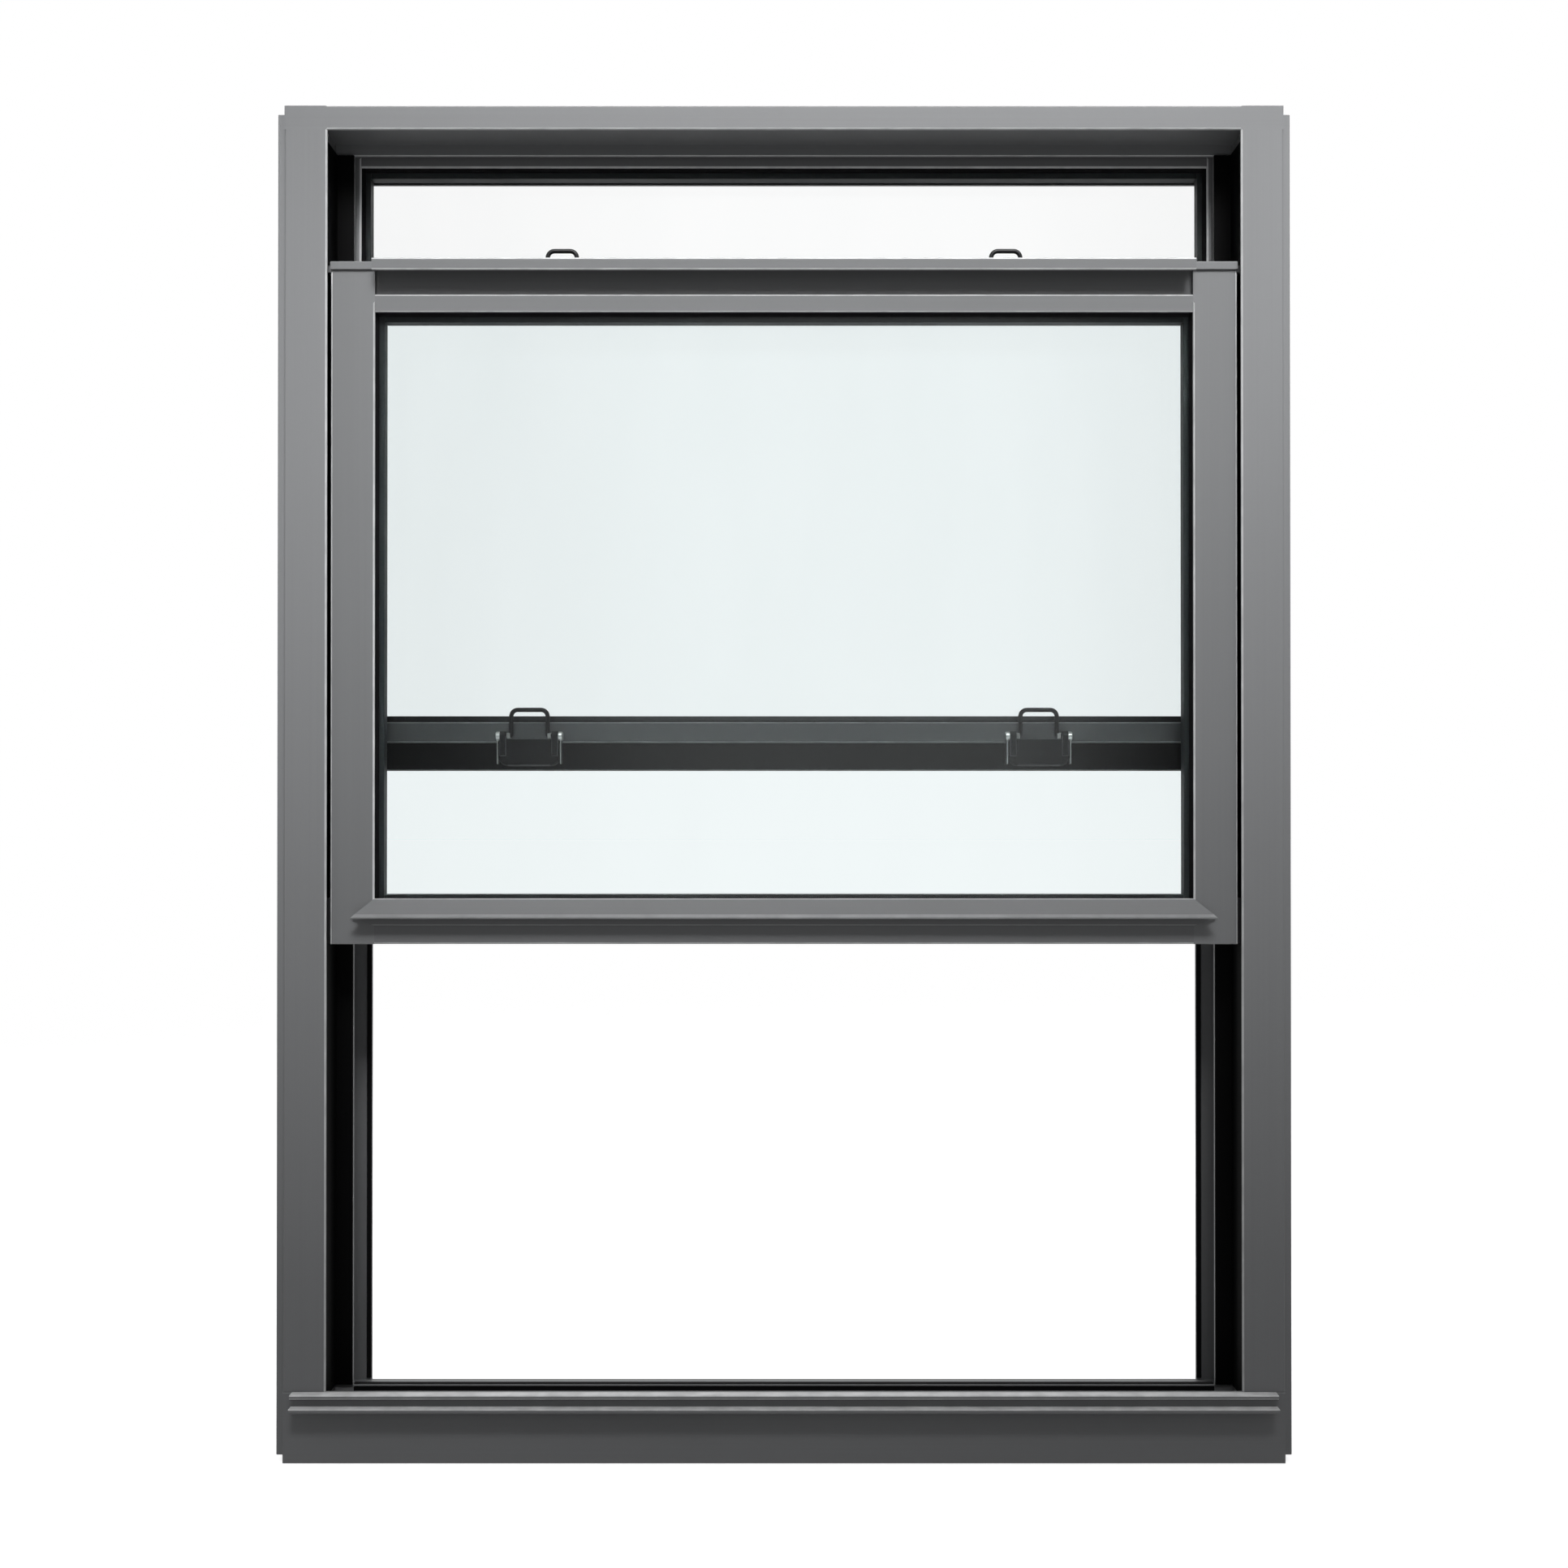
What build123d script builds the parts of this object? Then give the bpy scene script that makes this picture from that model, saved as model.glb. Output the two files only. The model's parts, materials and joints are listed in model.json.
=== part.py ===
"""Double hung window of hollow aluminium sections, with two double-glazed sashes that slide in side tracks.

Millimetres. X runs across the window, Y from the room side to the weather side, Z up.
The origin is the middle of the sill's flat underside. The lower sash stands raised, the upper one is shut.
Depths are measured from the front face of the frame towards the weather side.
"""

import os

from build123d import *

# Frame: overall size, visible faces and section walls
FRAME_WIDTH = 890.0
FRAME_HEIGHT = 1190.0
FRAME_DEPTH = 110.0
WALL = 2.0
JAMB_FACE = 44.0
HEAD_FACE = 21.0
SILL_FACE = 63.0

# Set-back edge of the jambs, past which the head and the sill end
EDGE_STEP_WIDTH = 6.5
EDGE_STEP_DEPTH = 3.0
JAMB_END_SETBACK = 7.0

# Tracks: room-side lip, parting stop between the sashes, blind stop on the weather side
LIP_THICKNESS = 3.0
LIP_REACH = 6.0
PARTING_FRONT = 52.0
PARTING_THICKNESS = 4.0
PARTING_REACH = 17.0
REAR_TRACK_EXTRA = 8.0
BLIND_THICKNESS = 4.0
BLIND_REACH = 29.0
LINER_THICKNESS = 2.0

# Head: soffit of the front track and drop of the two stops
HEAD_SOFFIT_RISE = 6.0
HEAD_PARTING_DROP = 10.0
HEAD_REAR_WALL = 3.0
HEAD_BLIND_HEIGHT = 33.0

# Sill: track floor, parting rib, fall to the weather side and weep slots
SILL_TRACK_FLOOR = 44.0
SILL_RIB_TOP = 52.0
SILL_REAR_FACE = 37.0
WEEP_WIDTH = 28.0
WEEP_HEIGHT = 6.0
WEEP_FLOOR = 8.0
WEEP_FROM_MIDDLE = 290.0

# Stool nosing on the sill's front
NOSING_HALF_LENGTH = 430.0
NOSING_HEIGHT = 14.5
NOSING_UPPER_REACH = 10.0
NOSING_LOWER_REACH = 14.0
NOSING_NECK_REACH = 5.0
NOSING_LIP = 3.5
NOSING_EDGE_RADIUS = 1.0

# Sash sections
SASH_DEPTH = 36.0
SASH_WALL = 2.0
LEG_THICKNESS = 2.5
LEG_HEIGHT = 12.0
LOWER_SASH_SETBACK = 9.0
UPPER_SASH_SETBACK = 61.0
SIDE_CLEARANCE = 5.0
GUIDE_CLEARANCE = 0.3

# Lower sash
LOWER_STILE = 39.0
LOWER_SASH_HEIGHT = 602.0
LOWER_TOP_RAIL = 44.5
LOWER_BOTTOM_RAIL = 40.0
BOTTOM_RIDGE = 3.0
SHUT_CLEARANCE = 5.5
RAISED_HEADROOM = 113.5

# Pull along the lower sash's top rail
PULL_REACH = 13.0
PULL_DROP = 11.0
PULL_WALL = 2.5
PULL_RECESS_DEPTH = 6.0
PULL_BAND = 15.5

# Caps on the tops of the lower stiles, and the nylon guides
CAP_HEIGHT = 7.0
CAP_PROUD = 2.0
CAP_RADIUS = 1.0
PLUG_DEPTH = 12.0
PLUG_CLEARANCE = 0.2
SHOE_HEIGHT = 40.0
SHOE_INSET = 8.0

# Lift rail on the lower sash's bottom rail
LIFT_REACH = 13.5
LIFT_FALL = 14.0
LIFT_NOSE = 3.0
LIFT_WALL = 2.5
LIFT_PLATE = 23.5
LIFT_MITRE = 19.0

# Upper sash, which reaches down past the top of the shut lower sash by the overlap of their rails
UPPER_STILE = 24.0
UPPER_TOP_RAIL = 24.5
MEETING_RAIL = 44.0
MEETING_OVERLAP = 44.5
MEETING_BAND = 17.0
MEETING_BAND_PROUD = 4.0
MEETING_BAND_TOP = 0.5
MEETING_LEDGE = 2.0
MEETING_SETBACK = 1.0

# Glazing
PANE = 4.0
CAVITY = 12.0
GLASS_BITE = 8.0
SPACER_SIGHT = 6.0
GASKET_LIP = 2.0
STRIP_JOINT = 0.2

# Bail catches
BAIL_WIRE = 4.0
BAIL_SIDES = 8
BAIL_BEND = 6.0
BAIL_FOOT_BEND = 2.5
BAIL_SEAT_DEPTH = 4.0
BAIL_SEAT_CLEARANCE = 0.2
LOWER_CATCH_X = 198.0
LOWER_CATCH_LENGTH = 50.0
LOWER_CATCH_WIDTH = 20.0
LOWER_CATCH_HEIGHT = 6.0
LOWER_CATCH_RADIUS = 6.0
LOWER_BAIL_WIDTH = 30.0
LOWER_BAIL_RISE = 11.0
UPPER_CATCH_X = 231.0
UPPER_CATCH_LENGTH = 56.0
UPPER_CATCH_HEIGHT = 29.0
UPPER_CATCH_PROUD = 10.0
UPPER_CATCH_RADIUS = 9.0
UPPER_CATCH_LIFT = 4.0
UPPER_BAIL_WIDTH = 33.0
UPPER_BAIL_RISE = 24.0
EAR_GAP = 4.0
EAR_THICKNESS = 6.0
EAR_RADIUS = 5.0
PIVOT_BELOW_TOP = 2.0
CATCH_CHAMFER = 1.5

# Fixing holes through the jambs, behind the upper sash's track
FIXING_RADIUS = 3.25
FIXING_LOW = 150.0
FIXING_SPACING = 400.0

# Places worked out from the sizes above
HALF_WIDTH = FRAME_WIDTH / 2
HALF_CROSS = HALF_WIDTH - EDGE_STEP_WIDTH
LIP_X = HALF_WIDTH - JAMB_FACE
FRONT_FLOOR_X = LIP_X + LIP_REACH
REAR_FLOOR_X = FRONT_FLOOR_X + REAR_TRACK_EXTRA
PARTING_X = FRONT_FLOOR_X - PARTING_REACH
PARTING_REAR = PARTING_FRONT + PARTING_THICKNESS
BLIND_X = REAR_FLOOR_X - BLIND_REACH
BLIND_FRONT = FRAME_DEPTH - BLIND_THICKNESS
LINER_X = FRONT_FLOOR_X - LINER_THICKNESS
LINER_FACE = PARTING_FRONT - LINER_THICKNESS
HEAD_LIP_Z = FRAME_HEIGHT - HEAD_FACE
HEAD_SOFFIT_Z = HEAD_LIP_Z + HEAD_SOFFIT_RISE
HEAD_REAR_SOFFIT_Z = FRAME_HEIGHT - HEAD_REAR_WALL

LOWER_HALF = LINER_X - SIDE_CLEARANCE
LOWER_SIGHT_X = LOWER_HALF - LOWER_STILE
LOWER_TOP_Z = HEAD_LIP_Z - RAISED_HEADROOM
LOWER_BASE_Z = LOWER_TOP_Z - LOWER_SASH_HEIGHT
LOWER_SHUT_TOP = SILL_TRACK_FLOOR + SHUT_CLEARANCE + LOWER_SASH_HEIGHT
LOWER_SIGHT_TOP = LOWER_TOP_Z - LOWER_TOP_RAIL
LOWER_SIGHT_BASE = LOWER_BASE_Z + LOWER_BOTTOM_RAIL - BOTTOM_RIDGE

UPPER_HALF = REAR_FLOOR_X - SIDE_CLEARANCE
UPPER_SIGHT_X = UPPER_HALF - UPPER_STILE
UPPER_TOP_Z = HEAD_REAR_SOFFIT_Z - SIDE_CLEARANCE
UPPER_BASE_Z = LOWER_SHUT_TOP - MEETING_OVERLAP
UPPER_SIGHT_TOP = UPPER_TOP_Z - UPPER_TOP_RAIL
UPPER_SIGHT_BASE = UPPER_BASE_Z + MEETING_RAIL

UNIT = 2 * PANE + CAVITY
UNIT_FRONT = (SASH_DEPTH - UNIT) / 2
REAR_LEG = SASH_DEPTH - LEG_THICKNESS


def y_at(depth):
    """Y of a depth behind the front face of the frame."""
    return depth - FRAME_DEPTH / 2


def along_x(outline, half_length, setback=0.0, hollows=()):
    """Section of (depth, height) points, drawn out along X to both sides of the middle."""
    def face(points):
        return Plane.YZ * Polygon([(y_at(setback + d), z) for d, z in points], align=None)

    section = face(outline)
    for hollow in hollows:
        section -= face(hollow)
    return extrude(section, amount=half_length, both=True)


def along_z(outline, base, top, setback=0.0, hollows=()):
    """Section of (x, depth) points, drawn up from base to top."""
    def face(points):
        return Polygon([(x, y_at(setback + d)) for x, d in points], align=None)

    section = face(outline)
    for hollow in hollows:
        section -= face(hollow)
    return extrude(Pos(0, 0, base) * section, amount=top - base, dir=(0, 0, 1))


def block(x_range, depth_range, z_range):
    """Plain block between three pairs of limits, with its depth behind the frame's face."""
    size = [high - low for low, high in (x_range, depth_range, z_range)]
    low = (x_range[0], y_at(depth_range[0]), z_range[0])
    return Pos(*low) * Box(*size, align=(Align.MIN, Align.MIN, Align.MIN))


def rectangle(low, high):
    """Corner points of a rectangle between two opposite corners."""
    return [low, (high[0], low[1]), high, (low[0], high[1])]


def left_of(solid):
    """Mirror image on the other side of the window's middle plane."""
    return mirror(solid, about=Plane.YZ)


# Head and sill, which run between the set-back edges of the jambs

HEAD_OUTLINE = [
    (0, FRAME_HEIGHT),
    (0, HEAD_LIP_Z),
    (LIP_THICKNESS, HEAD_LIP_Z),
    (LIP_THICKNESS, HEAD_SOFFIT_Z),
    (PARTING_FRONT, HEAD_SOFFIT_Z),
    (PARTING_FRONT, HEAD_SOFFIT_Z - HEAD_PARTING_DROP),
    (PARTING_REAR, HEAD_SOFFIT_Z - HEAD_PARTING_DROP),
    (PARTING_REAR, HEAD_REAR_SOFFIT_Z),
    (BLIND_FRONT, HEAD_REAR_SOFFIT_Z),
    (BLIND_FRONT, FRAME_HEIGHT - HEAD_BLIND_HEIGHT),
    (FRAME_DEPTH, FRAME_HEIGHT - HEAD_BLIND_HEIGHT),
    (FRAME_DEPTH, FRAME_HEIGHT),
]
SILL_OUTLINE = [
    (0, 0),
    (0, SILL_FACE),
    (LIP_THICKNESS, SILL_FACE),
    (LIP_THICKNESS, SILL_TRACK_FLOOR),
    (PARTING_FRONT, SILL_TRACK_FLOOR),
    (PARTING_FRONT, SILL_RIB_TOP),
    (PARTING_REAR, SILL_RIB_TOP),
    (PARTING_REAR, SILL_TRACK_FLOOR),
    (FRAME_DEPTH, SILL_REAR_FACE),
    (FRAME_DEPTH, 0),
]


def make_head():
    chamber = rectangle((LIP_THICKNESS, HEAD_SOFFIT_Z + WALL), (PARTING_FRONT, FRAME_HEIGHT - WALL))
    return along_x(HEAD_OUTLINE, HALF_CROSS, hollows=[chamber])


def make_sill():
    front_chamber = rectangle((WALL, WALL), (PARTING_FRONT, SILL_TRACK_FLOOR - WALL))
    rear_chamber = [
        (PARTING_REAR, WALL),
        (PARTING_REAR, SILL_TRACK_FLOOR - WALL),
        (FRAME_DEPTH - WALL, SILL_REAR_FACE - WALL),
        (FRAME_DEPTH - WALL, WALL),
    ]
    sill = along_x(SILL_OUTLINE, HALF_CROSS, hollows=[front_chamber, rear_chamber])
    weep = block(
        (WEEP_FROM_MIDDLE - WEEP_WIDTH / 2, WEEP_FROM_MIDDLE + WEEP_WIDTH / 2),
        (FRAME_DEPTH - 2 * WALL, FRAME_DEPTH + WALL),
        (WEEP_FLOOR, WEEP_FLOOR + WEEP_HEIGHT),
    )
    return sill - weep - left_of(weep)


def make_nosing():
    top = SILL_FACE
    base = SILL_FACE - NOSING_HEIGHT
    outline = [
        (0, top),
        (-NOSING_UPPER_REACH, top),
        (-NOSING_UPPER_REACH, top - NOSING_LIP),
        (-NOSING_NECK_REACH, top - NOSING_LIP),
        (-NOSING_NECK_REACH, base + NOSING_LIP),
        (-NOSING_LOWER_REACH, base + NOSING_LIP),
        (-NOSING_LOWER_REACH, base),
        (0, base),
    ]
    nosing = along_x(outline, NOSING_HALF_LENGTH)
    lip_fronts = nosing.edges().filter_by(Axis.X).group_by(Axis.Y)[0]
    return fillet(lip_fronts, NOSING_EDGE_RADIUS)


# Jambs: one hollow section each, with its ends shaped round the head and the sill


def make_jamb():
    outline = [
        (LIP_X, 0),
        (HALF_CROSS, 0),
        (HALF_CROSS, EDGE_STEP_DEPTH),
        (HALF_WIDTH, EDGE_STEP_DEPTH),
        (HALF_WIDTH, FRAME_DEPTH),
        (BLIND_X, FRAME_DEPTH),
        (BLIND_X, BLIND_FRONT),
        (REAR_FLOOR_X, BLIND_FRONT),
        (REAR_FLOOR_X, PARTING_REAR),
        (PARTING_X, PARTING_REAR),
        (PARTING_X, PARTING_FRONT),
        (FRONT_FLOOR_X, PARTING_FRONT),
        (FRONT_FLOOR_X, LIP_THICKNESS),
        (LIP_X, LIP_THICKNESS),
    ]
    front_chamber = [
        (FRONT_FLOOR_X + WALL, LIP_THICKNESS),
        (HALF_CROSS - WALL, LIP_THICKNESS),
        (HALF_CROSS - WALL, EDGE_STEP_DEPTH + WALL),
        (HALF_WIDTH - WALL, EDGE_STEP_DEPTH + WALL),
        (HALF_WIDTH - WALL, PARTING_FRONT),
        (FRONT_FLOOR_X + WALL, PARTING_FRONT),
    ]
    rear_chamber = rectangle((REAR_FLOOR_X + WALL, PARTING_REAR), (HALF_WIDTH - WALL, FRAME_DEPTH - WALL))
    jamb = along_z(
        outline, JAMB_END_SETBACK, FRAME_HEIGHT - JAMB_END_SETBACK, hollows=[front_chamber, rear_chamber]
    )
    jamb -= along_x(HEAD_OUTLINE, HALF_CROSS)
    jamb -= along_x(SILL_OUTLINE, HALF_CROSS)
    track_middle = (PARTING_REAR + BLIND_FRONT) / 2
    for height in (FIXING_LOW, FIXING_LOW + FIXING_SPACING):
        drill = Cylinder(FIXING_RADIUS, 2 * HALF_WIDTH, rotation=(0, 90, 0))
        jamb -= Pos(HALF_WIDTH, y_at(track_middle), height) * drill
    return jamb


def make_liner():
    """Strips on the floor of the front track and on the stop behind it."""
    base = SILL_RIB_TOP
    top = HEAD_SOFFIT_Z - HEAD_PARTING_DROP
    floor = rectangle((LINER_X, LIP_THICKNESS), (FRONT_FLOOR_X, PARTING_FRONT))
    facing = rectangle((PARTING_X, LINER_FACE), (LINER_X, PARTING_FRONT))
    return along_z(floor, base, top), along_z(facing, base, top)


# Sash sections shared by the two sashes


def make_stile(sight_x, outer_x, base, top, setback):
    """Hollow stile with a glazing channel between two legs on its inner side."""
    channel_x = sight_x + LEG_HEIGHT
    outline = [
        (sight_x, 0),
        (outer_x, 0),
        (outer_x, SASH_DEPTH),
        (sight_x, SASH_DEPTH),
        (sight_x, REAR_LEG),
        (channel_x, REAR_LEG),
        (channel_x, LEG_THICKNESS),
        (sight_x, LEG_THICKNESS),
    ]
    chamber = rectangle((channel_x + SASH_WALL, SASH_WALL), (outer_x - SASH_WALL, SASH_DEPTH - SASH_WALL))
    return along_z(outline, base, top, setback, hollows=[chamber])


def make_rail(outline, chamber, sight_x, setback):
    """Rail that butts on the stiles' legs, with its core running on into their channels."""
    rail = along_x(outline, sight_x, setback, hollows=[chamber])
    core = along_x(outline, sight_x + LEG_HEIGHT, setback, hollows=[chamber])
    heights = [z for _, z in outline]
    limits = rectangle((LEG_THICKNESS, min(heights)), (REAR_LEG, max(heights)))
    return rail + (core & along_x(limits, sight_x + LEG_HEIGHT, setback))


def make_panes(sight_x, sight_base, sight_top, setback):
    """Room-side and weather-side panes of a sealed unit."""
    x_range = (-sight_x - GLASS_BITE, sight_x + GLASS_BITE)
    z_range = (sight_base - GLASS_BITE, sight_top + GLASS_BITE)
    panes = []
    for front in (UNIT_FRONT, UNIT_FRONT + PANE + CAVITY):
        panes.append(block(x_range, (setback + front, setback + front + PANE), z_range))
    return panes


def make_border(profile, sight_x, sight_base, sight_top, setback, reach):
    """Four strips round a glazed opening, from a profile of (distance outside the sight line, depth) points.

    The upright strips run the whole height and the others stop short between them.
    """
    side = along_z(
        [(sight_x + out, d) for out, d in profile], sight_base - GLASS_BITE, sight_top + GLASS_BITE, setback
    )
    half_length = sight_x - reach - STRIP_JOINT
    head = along_x([(d, sight_top + out) for out, d in profile], half_length, setback)
    foot = along_x([(d, sight_base - out) for out, d in profile], half_length, setback)
    return Compound(children=[side, left_of(side), head, foot])


def make_gaskets(sight_x, sight_base, sight_top, setback):
    """Wedge gaskets that hold the sealed unit between the legs, on its room and weather sides."""
    gaskets = []
    for leg_side, glass_side in ((LEG_THICKNESS, UNIT_FRONT), (REAR_LEG, UNIT_FRONT + UNIT)):
        wedge = [
            (0, leg_side),
            (GLASS_BITE, leg_side),
            (GLASS_BITE, glass_side),
            (-GASKET_LIP, glass_side),
        ]
        gaskets.append(make_border(wedge, sight_x, sight_base, sight_top, setback, GASKET_LIP))
    return gaskets


def make_spacer(sight_x, sight_base, sight_top, setback):
    """Edge spacer and seal between the panes."""
    bar = rectangle((-SPACER_SIGHT, UNIT_FRONT + PANE), (GLASS_BITE, UNIT_FRONT + PANE + CAVITY))
    return make_border(bar, sight_x, sight_base, sight_top, setback, SPACER_SIGHT)


def make_shoe(outer_x, track_x, base, setback):
    """Nylon guide on a stile's outer side, running close to the floor of its track."""
    return block(
        (outer_x, track_x - GUIDE_CLEARANCE),
        (setback + SHOE_INSET, setback + SASH_DEPTH - SHOE_INSET),
        (base, base + SHOE_HEIGHT),
    )


def sweep_wire(points, radii):
    """Bent wire of few sides along rounded corners."""
    path = FilletPolyline(*points, radius=radii)
    start = Plane(origin=points[0], z_dir=path % 0)
    return sweep(start * RegularPolygon(BAIL_WIRE / 2, BAIL_SIDES), path=path)


def make_standing_bail(middle_x, width, foot_z, top_z, depth):
    """Loop of wire standing on two legs."""
    half = (width - BAIL_WIRE) / 2
    crown = top_z - BAIL_WIRE / 2
    corners = [(-half, foot_z), (-half, crown), (half, crown), (half, foot_z)]
    points = [(middle_x + x, y_at(depth), z) for x, z in corners]
    return sweep_wire(points, [BAIL_BEND, BAIL_BEND])


def make_pivoted_bail(middle_x, width, pivot_z, top_z, depth, foot):
    """Loop of wire whose feet turn outwards into the ears of its catch."""
    half = (width - BAIL_WIRE) / 2
    crown = top_z - BAIL_WIRE / 2
    corners = [
        (-half - foot, pivot_z),
        (-half, pivot_z),
        (-half, crown),
        (half, crown),
        (half, pivot_z),
        (half + foot, pivot_z),
    ]
    points = [(middle_x + x, y_at(depth), z) for x, z in corners]
    return sweep_wire(points, [BAIL_FOOT_BEND, BAIL_BEND, BAIL_BEND, BAIL_FOOT_BEND])


def bail_seats(middle_x, width, base_z, depth):
    """Two upright bores that take the legs of a standing bail, from base_z up."""
    half = (width - BAIL_WIRE) / 2
    radius = BAIL_WIRE / 2 + BAIL_SEAT_CLEARANCE
    bore = Cylinder(radius, 2 * BAIL_SEAT_DEPTH, align=(Align.CENTER, Align.CENTER, Align.MIN))
    seats = []
    for x in (middle_x - half, middle_x + half):
        seats.append(Pos(x, y_at(depth), base_z) * bore)
    return seats


# Lower sash


def make_lower_top_rail():
    """Rail with a forward lip over a finger recess."""
    top = LOWER_TOP_Z
    sight = LOWER_SIGHT_TOP
    outline = [
        (0, sight),
        (0, sight + PULL_BAND),
        (PULL_RECESS_DEPTH, sight + PULL_BAND),
        (PULL_RECESS_DEPTH, top - PULL_WALL),
        (-PULL_REACH + PULL_WALL, top - PULL_WALL),
        (-PULL_REACH + PULL_WALL, top - PULL_DROP),
        (-PULL_REACH, top - PULL_DROP),
        (-PULL_REACH, top),
        (SASH_DEPTH, top),
        (SASH_DEPTH, sight),
        (REAR_LEG, sight),
        (REAR_LEG, sight + LEG_HEIGHT),
        (LEG_THICKNESS, sight + LEG_HEIGHT),
        (LEG_THICKNESS, sight),
    ]
    chamber = rectangle(
        (PULL_RECESS_DEPTH + SASH_WALL, sight + LEG_HEIGHT + SASH_WALL),
        (SASH_DEPTH - SASH_WALL, top - PULL_WALL),
    )
    rail = make_rail(outline, chamber, LOWER_SIGHT_X, LOWER_SASH_SETBACK)
    cap_space = block(
        (LOWER_SIGHT_X, HALF_WIDTH),
        (LOWER_SASH_SETBACK, LOWER_SASH_SETBACK + SASH_DEPTH),
        (LOWER_TOP_Z - CAP_HEIGHT, LOWER_TOP_Z),
    )
    return rail - cap_space - left_of(cap_space)


def make_lower_bottom_rail():
    """Rail whose front leg rises as a ridge behind the lift rail."""
    base = LOWER_BASE_Z
    sight = LOWER_SIGHT_BASE
    outline = [
        (0, base),
        (0, sight + BOTTOM_RIDGE),
        (LEG_THICKNESS, sight + BOTTOM_RIDGE),
        (LEG_THICKNESS, sight - LEG_HEIGHT),
        (REAR_LEG, sight - LEG_HEIGHT),
        (REAR_LEG, sight),
        (SASH_DEPTH, sight),
        (SASH_DEPTH, base),
    ]
    chamber = rectangle(
        (SASH_WALL, base + SASH_WALL), (SASH_DEPTH - SASH_WALL, sight - LEG_HEIGHT - SASH_WALL)
    )
    return make_rail(outline, chamber, LOWER_SIGHT_X, LOWER_SASH_SETBACK)


def make_lift_rail():
    """Angle with a sloping flange for the fingers and mitred ends."""
    top = LOWER_SIGHT_BASE + BOTTOM_RIDGE
    nose_top = top - LIFT_FALL
    nose_base = nose_top - LIFT_NOSE
    plate_base = top - LIFT_PLATE
    slope = LIFT_FALL / LIFT_REACH
    inner_top = top - slope * LIFT_WALL - LIFT_WALL
    outline = [
        (0, top),
        (-LIFT_REACH, nose_top),
        (-LIFT_REACH, nose_base),
        (-LIFT_REACH + LIFT_WALL, nose_base),
        (-LIFT_WALL, inner_top),
        (-LIFT_WALL, plate_base),
        (0, plate_base),
    ]
    rail = along_x(outline, LOWER_SIGHT_X + LIFT_MITRE, LOWER_SASH_SETBACK)
    spread = LOWER_SIGHT_X + LIFT_MITRE
    silhouette = Polygon(
        [
            (-LOWER_SIGHT_X, top),
            (LOWER_SIGHT_X, top),
            (spread, nose_base),
            (LOWER_SIGHT_X, plate_base),
            (-LOWER_SIGHT_X, plate_base),
            (-spread, nose_base),
        ],
        align=None,
    )
    return rail & extrude(Plane.XZ * silhouette, amount=FRAME_DEPTH, both=True)


def make_stile_cap():
    """Cap that closes a stile's top, plugs into its chamber and guides it in the track."""
    base = LOWER_TOP_Z - CAP_HEIGHT
    front = LOWER_SASH_SETBACK
    cap = block((LOWER_SIGHT_X, LOWER_HALF), (front - CAP_PROUD, front + SASH_DEPTH), (base, LOWER_TOP_Z))
    top_edges = cap.faces().sort_by(Axis.Z)[-1].edges().sort_by(Axis.X)[1:]
    cap = fillet(top_edges, CAP_RADIUS)
    gap = SASH_WALL + PLUG_CLEARANCE
    plug = block(
        (LOWER_SIGHT_X + LEG_HEIGHT + gap, LOWER_HALF - gap),
        (front + gap, front + SASH_DEPTH - gap),
        (base - PLUG_DEPTH, base),
    )
    guide = block(
        (LOWER_HALF - CAP_HEIGHT, LINER_X - GUIDE_CLEARANCE),
        (front + SHOE_INSET, front + SASH_DEPTH - SHOE_INSET),
        (base, LOWER_TOP_Z - CAP_RADIUS),
    )
    return cap + plug + guide


def make_lower_catch():
    """Cast base on the top rail, with two bores for its bail."""
    depth = LOWER_SASH_SETBACK + SASH_DEPTH / 2
    place = Pos(LOWER_CATCH_X, y_at(depth), LOWER_TOP_Z)
    plan = RectangleRounded(LOWER_CATCH_LENGTH, LOWER_CATCH_WIDTH, LOWER_CATCH_RADIUS)
    base = extrude(place * plan, amount=LOWER_CATCH_HEIGHT)
    base = chamfer(base.faces().sort_by(Axis.Z)[-1].edges(), CATCH_CHAMFER)
    foot = LOWER_TOP_Z + LOWER_CATCH_HEIGHT - BAIL_SEAT_DEPTH
    for seat in bail_seats(LOWER_CATCH_X, LOWER_BAIL_WIDTH, foot, depth):
        base -= seat
    top = LOWER_TOP_Z + LOWER_CATCH_HEIGHT + LOWER_BAIL_RISE
    return base, make_standing_bail(LOWER_CATCH_X, LOWER_BAIL_WIDTH, foot, top, depth)


# Upper sash


def make_upper_top_rail():
    sight = UPPER_SIGHT_TOP
    top = UPPER_TOP_Z
    outline = [
        (0, sight),
        (0, top),
        (SASH_DEPTH, top),
        (SASH_DEPTH, sight),
        (REAR_LEG, sight),
        (REAR_LEG, sight + LEG_HEIGHT),
        (LEG_THICKNESS, sight + LEG_HEIGHT),
        (LEG_THICKNESS, sight),
    ]
    chamber = rectangle(
        (SASH_WALL, sight + LEG_HEIGHT + SASH_WALL), (SASH_DEPTH - SASH_WALL, top - SASH_WALL)
    )
    return make_rail(outline, chamber, UPPER_SIGHT_X, UPPER_SASH_SETBACK)


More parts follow.
